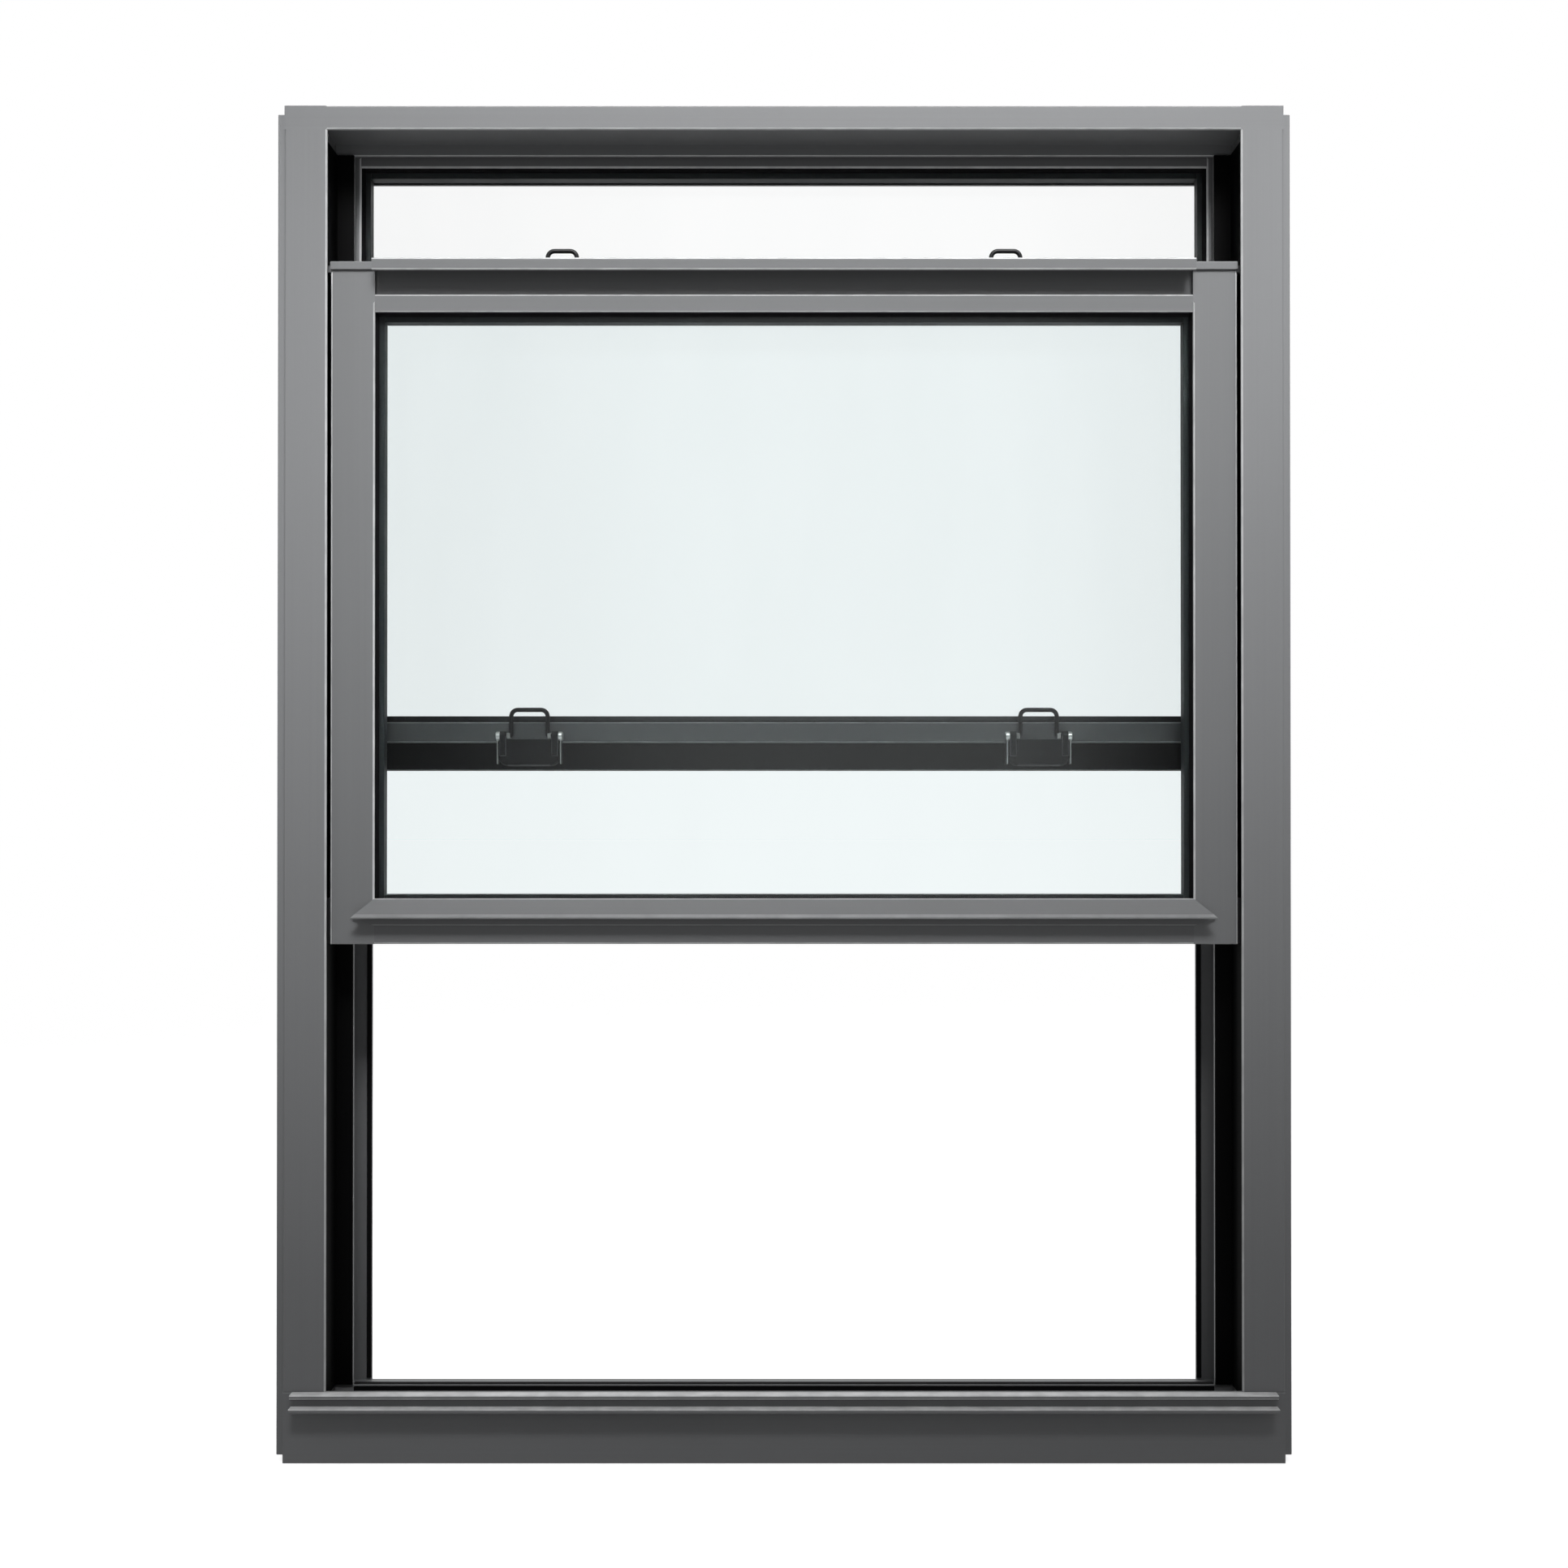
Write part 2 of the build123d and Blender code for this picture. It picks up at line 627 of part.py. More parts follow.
def make_meeting_rail():
    """Rail with a sloping band along its top, over a plain face."""
    base = UPPER_BASE_Z
    sight = UPPER_SIGHT_BASE
    band_base = sight - MEETING_BAND
    outline = [
        (MEETING_BAND_TOP, sight),
        (-MEETING_BAND_PROUD, band_base),
        (-MEETING_BAND_PROUD, band_base - MEETING_LEDGE),
        (MEETING_SETBACK, band_base - MEETING_LEDGE),
        (MEETING_SETBACK, base),
        (SASH_DEPTH, base),
        (SASH_DEPTH, sight),
        (REAR_LEG, sight),
        (REAR_LEG, sight - LEG_HEIGHT),
        (LEG_THICKNESS, sight - LEG_HEIGHT),
        (LEG_THICKNESS, sight),
    ]
    chamber = rectangle(
        (MEETING_SETBACK + SASH_WALL, base + SASH_WALL),
        (SASH_DEPTH - SASH_WALL, sight - LEG_HEIGHT - SASH_WALL),
    )
    return make_rail(outline, chamber, UPPER_SIGHT_X, UPPER_SASH_SETBACK)


def make_ear(inner_x, pivot_y, pivot_z, base_z):
    """Upright lug with a round top about the bail's pivot."""
    outline = Pos(0, (base_z - pivot_z) / 2) * Rectangle(2 * EAR_RADIUS, pivot_z - base_z) + Circle(EAR_RADIUS)
    place = Plane(origin=(inner_x, pivot_y, pivot_z), x_dir=(0, 1, 0), z_dir=(1, 0, 0))
    return extrude(place * outline, amount=EAR_THICKNESS)


def make_upper_catch(rail):
    """Cast catch on the front of the meeting rail, hollowed to sit round the rail's band, with two ears."""
    base = UPPER_BASE_Z + UPPER_CATCH_LIFT
    top = base + UPPER_CATCH_HEIGHT
    back = UPPER_SASH_SETBACK + MEETING_SETBACK
    outline = RectangleRounded(UPPER_CATCH_LENGTH, UPPER_CATCH_HEIGHT, UPPER_CATCH_RADIUS)
    place = Plane(origin=(UPPER_CATCH_X, y_at(back), (base + top) / 2), x_dir=(1, 0, 0), z_dir=(0, -1, 0))
    body = extrude(place * outline, amount=UPPER_CATCH_PROUD)
    body = chamfer(body.faces().sort_by(Axis.Y)[0].edges(), CATCH_CHAMFER)
    pivot_depth = back - UPPER_CATCH_PROUD + CATCH_CHAMFER + BAIL_WIRE / 2
    pivot_z = top - PIVOT_BELOW_TOP
    ear_x = UPPER_BAIL_WIDTH / 2 + EAR_GAP
    bail_swing = block(
        (UPPER_CATCH_X - ear_x, UPPER_CATCH_X + ear_x),
        (0, FRAME_DEPTH),
        (pivot_z - BAIL_WIRE / 2 - BAIL_SEAT_CLEARANCE, top),
    )
    body -= bail_swing
    for side in (-ear_x - EAR_THICKNESS, ear_x):
        body += make_ear(UPPER_CATCH_X + side, y_at(pivot_depth), pivot_z, base + UPPER_CATCH_RADIUS)
    drill = Cylinder(BAIL_WIRE / 2 + BAIL_SEAT_CLEARANCE, UPPER_CATCH_LENGTH, rotation=(0, 90, 0))
    body -= Pos(UPPER_CATCH_X, y_at(pivot_depth), pivot_z) * drill
    body -= rail
    foot = EAR_GAP + BAIL_WIRE / 2 + EAR_THICKNESS
    bail = make_pivoted_bail(
        UPPER_CATCH_X, UPPER_BAIL_WIDTH, pivot_z, top + UPPER_BAIL_RISE, pivot_depth, foot
    )
    return body, bail


def pair(nodes, name, solid):
    """Files a right-hand piece and its mirror image under a name with both sides."""
    nodes[name.format("right")] = solid
    nodes[name.format("left")] = left_of(solid)


def frame_nodes(nodes):
    pair(nodes, "{}_jamb", make_jamb())
    floor, facing = make_liner()
    pair(nodes, "{}_track_liner", floor)
    pair(nodes, "{}_track_facing", facing)
    nodes["head"] = make_head()
    nodes["sill"] = make_sill()
    nodes["sill_nosing"] = make_nosing()


def glazing_nodes(nodes, sash, sight):
    inner_pane, outer_pane = make_panes(*sight)
    inner_gasket, outer_gasket = make_gaskets(*sight)
    nodes[sash + "_inner_pane"] = inner_pane
    nodes[sash + "_outer_pane"] = outer_pane
    nodes[sash + "_inner_gasket"] = inner_gasket
    nodes[sash + "_outer_gasket"] = outer_gasket
    nodes[sash + "_spacer"] = make_spacer(*sight)


def lower_sash_nodes(nodes):
    stile = make_stile(
        LOWER_SIGHT_X, LOWER_HALF, LOWER_BASE_Z, LOWER_TOP_Z - CAP_HEIGHT, LOWER_SASH_SETBACK
    )
    pair(nodes, "lower_{}_stile", stile)
    pair(nodes, "lower_{}_stile_cap", make_stile_cap())
    pair(nodes, "lower_{}_shoe", make_shoe(LOWER_HALF, LINER_X, LOWER_BASE_Z, LOWER_SASH_SETBACK))
    nodes["lower_top_rail"] = make_lower_top_rail()
    nodes["lower_bottom_rail"] = make_lower_bottom_rail()
    nodes["lower_lift_rail"] = make_lift_rail()
    glazing_nodes(nodes, "lower", (LOWER_SIGHT_X, LOWER_SIGHT_BASE, LOWER_SIGHT_TOP, LOWER_SASH_SETBACK))
    base, bail = make_lower_catch()
    pair(nodes, "lower_{}_catch", base)
    pair(nodes, "lower_{}_bail", bail)


def upper_sash_nodes(nodes):
    stile = make_stile(UPPER_SIGHT_X, UPPER_HALF, UPPER_BASE_Z, UPPER_TOP_Z, UPPER_SASH_SETBACK)
    pair(nodes, "upper_{}_stile", stile)
    for name, base in (("top", UPPER_TOP_Z - SHOE_HEIGHT), ("bottom", UPPER_BASE_Z)):
        shoe = make_shoe(UPPER_HALF, REAR_FLOOR_X, base, UPPER_SASH_SETBACK)
        pair(nodes, "upper_{}_" + name + "_shoe", shoe)
    rail = make_meeting_rail()
    nodes["upper_top_rail"] = make_upper_top_rail()
    nodes["upper_meeting_rail"] = rail
    glazing_nodes(nodes, "upper", (UPPER_SIGHT_X, UPPER_SIGHT_BASE, UPPER_SIGHT_TOP, UPPER_SASH_SETBACK))
    body, bail = make_upper_catch(rail)
    pair(nodes, "upper_{}_catch", body)
    pair(nodes, "upper_{}_bail", bail)


def main():
    nodes = {}
    frame_nodes(nodes)
    lower_sash_nodes(nodes)
    upper_sash_nodes(nodes)
    os.makedirs("parts", exist_ok=True)
    for name, shape in nodes.items():
        export_step(shape, f"parts/{name}.step")
    print(len(nodes), "nodes written")


main()
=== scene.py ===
# %% [markdown]
# # Double hung window in dark grey aluminium
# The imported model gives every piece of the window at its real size, in metres, with the origin under the sill.
# This lesson leaves those places alone and works on looks only: rounded paint edges, wire and small metal parts,
# finishes made from nodes, and light like that of a plain studio.

# %% Load the frame
import json
import math

import bmesh
import bpy
from mathutils import Matrix, Vector


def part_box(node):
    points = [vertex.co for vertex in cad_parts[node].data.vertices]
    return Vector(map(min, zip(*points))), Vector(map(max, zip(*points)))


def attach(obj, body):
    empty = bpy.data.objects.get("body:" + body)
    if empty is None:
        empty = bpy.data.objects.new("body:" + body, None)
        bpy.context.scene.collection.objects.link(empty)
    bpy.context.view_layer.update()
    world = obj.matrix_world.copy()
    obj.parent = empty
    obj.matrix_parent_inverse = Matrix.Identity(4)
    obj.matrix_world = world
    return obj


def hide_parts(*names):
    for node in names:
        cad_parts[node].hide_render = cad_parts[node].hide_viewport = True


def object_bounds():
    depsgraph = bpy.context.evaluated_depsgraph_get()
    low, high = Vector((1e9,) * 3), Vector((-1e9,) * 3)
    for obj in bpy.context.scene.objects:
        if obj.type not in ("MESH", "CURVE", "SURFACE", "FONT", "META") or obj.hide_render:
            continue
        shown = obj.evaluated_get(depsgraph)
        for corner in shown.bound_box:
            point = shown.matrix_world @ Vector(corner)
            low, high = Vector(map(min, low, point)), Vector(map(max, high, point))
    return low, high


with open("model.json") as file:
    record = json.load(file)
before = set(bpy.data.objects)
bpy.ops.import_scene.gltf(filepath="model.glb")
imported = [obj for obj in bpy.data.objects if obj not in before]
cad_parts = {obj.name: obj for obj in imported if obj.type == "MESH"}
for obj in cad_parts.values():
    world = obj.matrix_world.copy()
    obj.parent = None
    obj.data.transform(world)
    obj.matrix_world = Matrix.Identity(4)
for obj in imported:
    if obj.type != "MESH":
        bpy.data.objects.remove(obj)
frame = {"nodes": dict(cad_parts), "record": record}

MM = 0.001
cad_low, cad_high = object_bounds()
scene = bpy.context.scene
print("nodes", len(frame["nodes"]), "box", [round(v, 4) for v in (*cad_low, *cad_high)])

# %% [markdown]
# ## Camera
# The window is seen square on, from a little below the middle of its height. How fast the tracks shrink with depth
# gives the distance of the eye, and the width of the frame in the picture then gives the lens. A tiny upward tilt
# makes the head look a little narrower than the sill, as it does in the picture.

# %% Camera
EYE_DISTANCE = 1.5
EYE_HEIGHT = 0.5866
SEEN_WIDTH = 1.3736
TILT_UP = math.radians(0.30)

front_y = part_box("left_jamb")[0].y
camera_data = bpy.data.cameras.new("camera")
camera_data.sensor_width = 36.0
camera_data.lens = camera_data.sensor_width * EYE_DISTANCE / SEEN_WIDTH
camera = bpy.data.objects.new("camera", camera_data)
camera.location = (0.0, front_y - EYE_DISTANCE, EYE_HEIGHT)
camera.rotation_euler = (math.radians(90) + TILT_UP, 0.0, 0.0)
scene.collection.objects.link(camera)
scene.camera = camera
print("lens", round(camera_data.lens, 2), "mm")

# %% [markdown]
# ## White surroundings
# A catalogue picture has no visible room. The world is plain white for rays from the camera and for those that come
# off metal or through glass, and much dimmer for the rays that light the paint, so the white never washes it out.
# The floor does the same: its own glow is seen, not felt, and the shadow of the sill still falls on it.

# %% World and floor
AMBIENT = 0.36
FLOOR_COLOUR = (0.50, 0.50, 0.50, 1.0)
FLOOR_GLOW = 1.0 - FLOOR_COLOUR[0] * AMBIENT
FLOOR_SIDE = 40.0
FLOOR_ROUGHNESS = 0.9
HALF_BOUNCE = 0.5


def add_math(tree, operation, *terms):
    """Result of a math node, whose terms are sockets or plain numbers."""
    node = tree.nodes.new("ShaderNodeMath")
    node.operation = operation
    for term, socket in zip(terms, node.inputs):
        if isinstance(term, float):
            socket.default_value = term
        else:
            tree.links.new(term, socket)
    return node.outputs[0]


def seen_ray(tree):
    """One for a ray of the camera, or one that glossy paint or glass passes on, and zero once paint has spread it."""
    path = tree.nodes.new("ShaderNodeLightPath").outputs
    total = path["Is Camera Ray"]
    for kind in ("Is Glossy Ray", "Is Transmission Ray"):
        total = add_math(tree, "MAXIMUM", total, path[kind])
    unspread = add_math(tree, "LESS_THAN", path["Diffuse Depth"], HALF_BOUNCE)
    return add_math(tree, "MULTIPLY", total, unspread)


world = bpy.data.worlds.new("white_room")
scene.world = world
world.use_nodes = True
room = world.node_tree
backdrop = room.nodes["Background"]
backdrop.inputs["Color"].default_value = (1.0, 1.0, 1.0, 1.0)
strength = room.nodes.new("ShaderNodeMapRange")
strength.inputs["To Min"].default_value = AMBIENT
strength.inputs["To Max"].default_value = 1.0
room.links.new(seen_ray(room), strength.inputs["Value"])
room.links.new(strength.outputs["Result"], backdrop.inputs["Strength"])


def make_floor():
    material = bpy.data.materials.new("pale_floor")
    material.use_nodes = True
    tree = material.node_tree
    shader = tree.nodes["Principled BSDF"]
    shader.inputs["Base Color"].default_value = FLOOR_COLOUR
    shader.inputs["Roughness"].default_value = FLOOR_ROUGHNESS
    shader.inputs["Specular IOR Level"].default_value = 0.0
    shader.inputs["Emission Color"].default_value = (1.0, 1.0, 1.0, 1.0)
    glow = add_math(tree, "MULTIPLY", seen_ray(tree), FLOOR_GLOW)
    tree.links.new(glow, shader.inputs["Emission Strength"])
    bm = bmesh.new()
    bmesh.ops.create_grid(bm, x_segments=1, y_segments=1, size=FLOOR_SIDE / 2)
    mesh = bpy.data.meshes.new("floor")
    bm.to_mesh(mesh)
    bm.free()
    mesh.materials.append(material)
    floor = bpy.data.objects.new("floor", mesh)
    scene.collection.objects.link(floor)


make_floor()
print("ambient", AMBIENT, "floor glow", FLOOR_GLOW)

# %% [markdown]
# ## Lamps
# In the picture the paint is nearly twice as bright at the head as at half height, and there twice as bright as at
# the sill. Nothing of that is painted on: a long soft box hangs close above and in front of the head, and its light
# thins out on the way down. It comes so steeply that the lip of the lower sash shades the recess under it. A weak
# lamp near the floor stands for the board that throws some light up under the head, and another one behind the
# window keeps the weather side readable.

# %% Lamps
KEY_PLACE = Vector((0.50, -0.88, 1.93))
KEY_AIM = Vector((0.40, -0.05, 1.03))
KEY_SIZE = (2.2, 0.6)
KEY_SPREAD = math.radians(41)
KEY_POWER = 10.4
BOUNCE_PLACE = Vector((0.0, -0.95, 0.03))
BOUNCE_AIM = Vector((0.0, 0.0, 1.15))
BOUNCE_SIZE = (1.6, 0.3)
BOUNCE_SPREAD = math.radians(92)
BOUNCE_POWER = 2.0
BACK_PLACE = Vector((-0.5, 1.7, 1.7))
BACK_AIM = Vector((0.0, 0.0, 0.6))
BACK_SIZE = (2.0, 1.2)
BACK_POWER = 12.0


def soft_box(name, place, aim, size, power, spread=math.pi):
    lamp = bpy.data.lights.new(name, "AREA")
    lamp.shape = "RECTANGLE"
    lamp.size, lamp.size_y = size
    lamp.energy = power
    lamp.spread = spread
    holder = bpy.data.objects.new(name, lamp)
    holder.location = place
    holder.rotation_euler = (aim - place).to_track_quat("-Z", "Y").to_euler()
    holder.visible_camera = False
    scene.collection.objects.link(holder)
    return holder


soft_box("key", KEY_PLACE, KEY_AIM, KEY_SIZE, KEY_POWER, KEY_SPREAD)
soft_box("bounce", BOUNCE_PLACE, BOUNCE_AIM, BOUNCE_SIZE, BOUNCE_POWER, BOUNCE_SPREAD)
soft_box("back", BACK_PLACE, BACK_AIM, BACK_SIZE, BACK_POWER).visible_transmission = False
scene.view_settings.view_transform = "Standard"
print("key", KEY_POWER, "W, back", BACK_POWER, "W")

# %% [markdown]
# ## Card behind the camera
# Glass in front of a white room mirrors that room and turns milky, and black rubber turns grey. A photographer
# stands a dark card behind the camera, and the panes then show what lies behind them. The card is paler towards its
# middle, which gives the soft veil across the glass of the picture. It lets every ray through that has not been
# mirrored on its way, so it is not seen from behind the window either.

# %% Card
CARD_Y = -2.4
CARD_HALF = 4.0
CARD_HEIGHT = 4.0
DARK_GLOW = 0.10
PALE_GLOW = 0.70
FADE_IN = (-0.95, -0.05)
FADE_OUT = (0.45, 0.95)


def pale_middle(tree):
    """Glow along the card, from dark to pale and back."""
    across = tree.nodes.new("ShaderNodeSeparateXYZ")
    tree.links.new(tree.nodes.new("ShaderNodeTexCoord").outputs["Object"], across.inputs[0])
    levels = []
    for (start, end), low, high in ((FADE_IN, DARK_GLOW, PALE_GLOW), (FADE_OUT, PALE_GLOW, DARK_GLOW)):
        fade = tree.nodes.new("ShaderNodeMapRange")
        fade.interpolation_type = "SMOOTHSTEP"
        for label, value in (("From Min", start), ("From Max", end), ("To Min", low), ("To Max", high)):
            fade.inputs[label].default_value = value
        tree.links.new(across.outputs["X"], fade.inputs["Value"])
        levels.append(fade.outputs["Result"])
    return add_math(tree, "MINIMUM", *levels)


def make_card():
    material = bpy.data.materials.new("dark_card")
    material.use_nodes = True
    tree = material.node_tree
    tree.nodes.remove(tree.nodes["Principled BSDF"])
    shine = tree.nodes.new("ShaderNodeEmission")
    tree.links.new(pale_middle(tree), shine.inputs["Strength"])
    depth = tree.nodes.new("ShaderNodeLightPath").outputs["Glossy Depth"]
    choice = tree.nodes.new("ShaderNodeMixShader")
    tree.links.new(add_math(tree, "GREATER_THAN", depth, HALF_BOUNCE), choice.inputs["Fac"])
    tree.links.new(tree.nodes.new("ShaderNodeBsdfTransparent").outputs[0], choice.inputs[1])
    tree.links.new(shine.outputs[0], choice.inputs[2])
    tree.links.new(choice.outputs[0], tree.nodes["Material Output"].inputs["Surface"])
    upright = Matrix.Rotation(math.radians(90), 4, "X")
    half = Matrix.Diagonal((CARD_HALF, 1.0, CARD_HEIGHT / 2, 1.0))
    bm = bmesh.new()
    bmesh.ops.create_grid(
        bm, x_segments=1, y_segments=1, size=1.0,
        matrix=Matrix.Translation((0.0, CARD_Y, CARD_HEIGHT / 2)) @ half @ upright,
    )
    mesh = bpy.data.meshes.new("dark_card")
    bm.to_mesh(mesh)
    bm.free()
    mesh.materials.append(material)
    card = bpy.data.objects.new("dark_card", mesh)
    for kind in ("camera", "diffuse", "volume_scatter", "shadow"):
        setattr(card, "visible_" + kind, False)
    scene.collection.objects.link(card)


make_card()
print("card at", CARD_Y, "glow", DARK_GLOW, "to", PALE_GLOW)

# %% [markdown]
# ## Shared effects
# Powder paint, moulded plastic and cast metal share a few effects: a fine pebbled skin, slow changes of tone, and
# faint lines that run along an extruded bar. Each is a node group with named inputs, so that every finish can place
# it with its own values. A group hands out only values. The shader itself stays in the finish.

# %% Node groups
# Breaks per metre in the painted highlight along rounded edges.
HIGHLIGHT_BREAKS_PER_METRE = 60.0


def start_group(name, inputs, outputs):
    """Empty shader group with its sockets, and its entry and result nodes."""
    group = bpy.data.node_groups.new(name, "ShaderNodeTree")
    for label, kind, value in inputs:
        socket = group.interface.new_socket(name=label, in_out="INPUT", socket_type="NodeSocket" + kind)
        if value is not None:
            socket.default_value = value
    for label, kind in outputs:
        group.interface.new_socket(name=label, in_out="OUTPUT", socket_type="NodeSocket" + kind)
    return group, group.nodes.new("NodeGroupInput"), group.nodes.new("NodeGroupOutput")


def add_noise(nodes, detail, roughness=0.5):
    noise = nodes.new("ShaderNodeTexNoise")
    noise.inputs["Detail"].default_value = detail
    noise.inputs["Roughness"].default_value = roughness
    return noise


def make_pebbled_skin():
    """Fine pebbles, as height and as a change of gloss, over slow clouds of tone."""
    group, entry, result = start_group(
        "pebbled_skin",
        [("Coordinates", "Vector", None), ("Pebbles per metre", "Float", 700.0), ("Clouds per metre", "Float", 5.0)],
        [("Height", "Float"), ("Tone", "Float")],
    )
    pebbles = add_noise(group.nodes, 2.0)
    clouds = add_noise(group.nodes, 3.0)
    for noise, scale in ((pebbles, "Pebbles per metre"), (clouds, "Clouds per metre")):
        group.links.new(entry.outputs["Coordinates"], noise.inputs["Vector"])
        group.links.new(entry.outputs[scale], noise.inputs["Scale"])
    group.links.new(pebbles.outputs["Fac"], result.inputs["Height"])
    group.links.new(clouds.outputs["Fac"], result.inputs["Tone"])
    return group


def make_draw_lines():
    """Faint lines along the run of an extruded bar."""
    group, entry, result = start_group(
        "draw_lines",
        [("Coordinates", "Vector", None), ("Lines per metre", "Vector", (400.0, 400.0, 2.0))],
        [("Lines", "Float")],
    )
    stretch = group.nodes.new("ShaderNodeVectorMath")
    stretch.operation = "MULTIPLY"
    noise = add_noise(group.nodes, 3.0, 0.6)
    noise.inputs["Scale"].default_value = 1.0
    group.links.new(entry.outputs["Coordinates"], stretch.inputs[0])
    group.links.new(entry.outputs["Lines per metre"], stretch.inputs[1])
    group.links.new(stretch.outputs[0], noise.inputs["Vector"])
    group.links.new(noise.outputs["Fac"], result.inputs["Lines"])
    return group


def make_edge_highlight():
    """Mask of painted highlight on the rounded edges, broken up by noise."""
    group, entry, result = start_group(
        "painted_edge_highlight",
        [("Coordinates", "Vector", None), ("Edge", "Float", 0.0), ("Break up", "Float", 0.35)],
        [("Mask", "Float")],
    )
    noise = add_noise(group.nodes, 2.0)
    noise.inputs["Scale"].default_value = HIGHLIGHT_BREAKS_PER_METRE
    keep = group.nodes.new("ShaderNodeMapRange")
    keep.inputs["From Min"].default_value = 0.3
    keep.inputs["From Max"].default_value = 0.7
    keep.inputs["To Max"].default_value = 1.0
    group.links.new(entry.outputs["Coordinates"], noise.inputs["Vector"])
    group.links.new(add_math(group, "SUBTRACT", 1.0, entry.outputs["Break up"]), keep.inputs["To Min"])
    group.links.new(noise.outputs["Fac"], keep.inputs["Value"])
    mask = add_math(group, "MULTIPLY", keep.outputs["Result"], entry.outputs["Edge"])
    group.links.new(mask, result.inputs["Mask"])
    return group


PEBBLED_SKIN = make_pebbled_skin()
DRAW_LINES = make_draw_lines()
EDGE_HIGHLIGHT = make_edge_highlight()
print("groups", [group.name for group in bpy.data.node_groups])

# %% [markdown]
# ## Finishes
# Every finish is one shader with a few effects led into it. A small class keeps the shader and its node tree at hand
# while a finish is put together, so that each recipe below reads as a short list of what the surface does.

# %% Finish helpers


class Finish:
    """A material with its node tree at hand, while it is put together."""

    def __init__(self, name):
        self.material = bpy.data.materials.new(name)
        self.material.use_nodes = True
        self.nodes = self.material.node_tree.nodes
        self.links = self.material.node_tree.links
        self.shader = self.nodes["Principled BSDF"]
        self.place = self.nodes.new("ShaderNodeTexCoord").outputs["Object"]

    def set(self, **values):
        for label, value in values.items():
            self.shader.inputs[label.replace("_", " ")].default_value = value

    def group(self, tree, **values):
        node = self.nodes.new("ShaderNodeGroup")
        node.node_tree = tree
        self.links.new(self.place, node.inputs["Coordinates"])
        for label, value in values.items():
            node.inputs[label.replace("_", " ")].default_value = value
        return node

    def span(self, value, low, high, start=0.25, end=0.75):
        """A value between two levels, from a mask that mostly lies between start and end."""
        node = self.nodes.new("ShaderNodeMapRange")
        node.inputs["From Min"].default_value = start
        node.inputs["From Max"].default_value = end
        node.inputs["To Min"].default_value = low
        node.inputs["To Max"].default_value = high
        self.links.new(value, node.inputs["Value"])
        return node.outputs["Result"]

    def mix(self, factor, first, second):
        """Colour between two others, each a plain colour or a socket."""
        node = self.nodes.new("ShaderNodeMix")
        node.data_type = "RGBA"
        self.links.new(factor, node.inputs["Factor"])
        ends = [socket for socket in node.inputs if socket.type == "RGBA"]
        for socket, colour in zip(ends, (first, second)):
            if isinstance(colour, tuple):
                socket.default_value = (*colour, 1.0)
            else:
                self.links.new(colour, socket)
        return next(socket for socket in node.outputs if socket.type == "RGBA")

    def bump(self, height, distance, strength=1.0):
        node = self.nodes.new("ShaderNodeBump")
        node.inputs["Strength"].default_value = strength
        node.inputs["Distance"].default_value = distance
        self.links.new(height, node.inputs["Height"])
        self.links.new(node.outputs["Normal"], self.shader.inputs["Normal"])

    def feed(self, socket, value):
        self.links.new(value, self.shader.inputs[socket])


def scaled(colour, factor):
    return tuple(min(1.0, channel * factor) for channel in colour)


# %% [markdown]
# The frame is powder-coated aluminium: satin, nearly neutral grey, with a skin of fine pebbles and faint lines along
# each bar. Rounded edges are painted a paler grey, a painted highlight for the light they catch. The sash uprights are
# a shade darker than the frame, and the level sash bars darker still, a painted shade for the shade on the rails.

# %% Powder-coated aluminium
FRAME_GREY = (0.143, 0.146, 0.150)
SASH_SHADE = 0.84
# Level sash bars are painted darker than the uprights: painted shade for the shade on the rails.
RAIL_PAINTED_SHADE = 0.76
# Paler greys for painted highlight: on rounded edges, and on the nosing's edges and lip tops.
EDGE_HIGHLIGHT_GREY = (0.42, 0.425, 0.43)
NOSING_HIGHLIGHT_GREY = (0.66, 0.665, 0.67)
RUN_X = (2.0, 420.0, 420.0)
RUN_Z = (420.0, 420.0, 2.0)


def powder_coat(name, colour, run, highlight_colour=EDGE_HIGHLIGHT_GREY):
    finish = Finish(name)
    finish.set(Specular_IOR_Level=0.2)
    skin = finish.group(PEBBLED_SKIN, Pebbles_per_metre=650.0, Clouds_per_metre=4.0)
    lines = finish.group(DRAW_LINES, Lines_per_metre=run)
    attribute = finish.nodes.new("ShaderNodeAttribute")
    attribute.attribute_name = "edge"
    edge = finish.group(EDGE_HIGHLIGHT)
    finish.links.new(attribute.outputs["Fac"], edge.inputs["Edge"])
    tone = finish.mix(skin.outputs["Tone"], scaled(colour, 0.95), scaled(colour, 1.05))
    lined = finish.mix(finish.span(lines.outputs["Lines"], 0.0, 0.10), tone, scaled(colour, 1.5))
    # Painted highlight: the rounded edges mix towards a paler grey.
    finish.feed("Base Color", finish.mix(edge.outputs["Mask"], lined, highlight_colour))
    finish.feed("Roughness", finish.span(lines.outputs["Lines"], 0.42, 0.54))
    finish.bump(skin.outputs["Height"], 0.05 * MM, 0.5)
    return finish.material


FRAME_PAINT_X = powder_coat("frame_paint_level", FRAME_GREY, RUN_X)
FRAME_PAINT_Z = powder_coat("frame_paint_upright", FRAME_GREY, RUN_Z)
# The nosing takes the paler grey on its edges and lip tops as painted highlight.
NOSING_PAINT = powder_coat("nosing_paint", FRAME_GREY, RUN_X, NOSING_HIGHLIGHT_GREY)
SASH_PAINT_X = powder_coat("sash_paint_level", scaled(FRAME_GREY, RAIL_PAINTED_SHADE), RUN_X)
SASH_PAINT_Z = powder_coat("sash_paint_upright", scaled(FRAME_GREY, SASH_SHADE), RUN_Z)
print("powder coats", FRAME_GREY, scaled(FRAME_GREY, SASH_SHADE))

# %% [markdown]
# Rubber, vinyl and nylon are nearly black and mostly lie in shade. Their skins differ in scale and gloss, so that a
# close look tells the matt gasket from the smoother track lining. The catches are cast metal in black enamel.

# %% Dark finishes


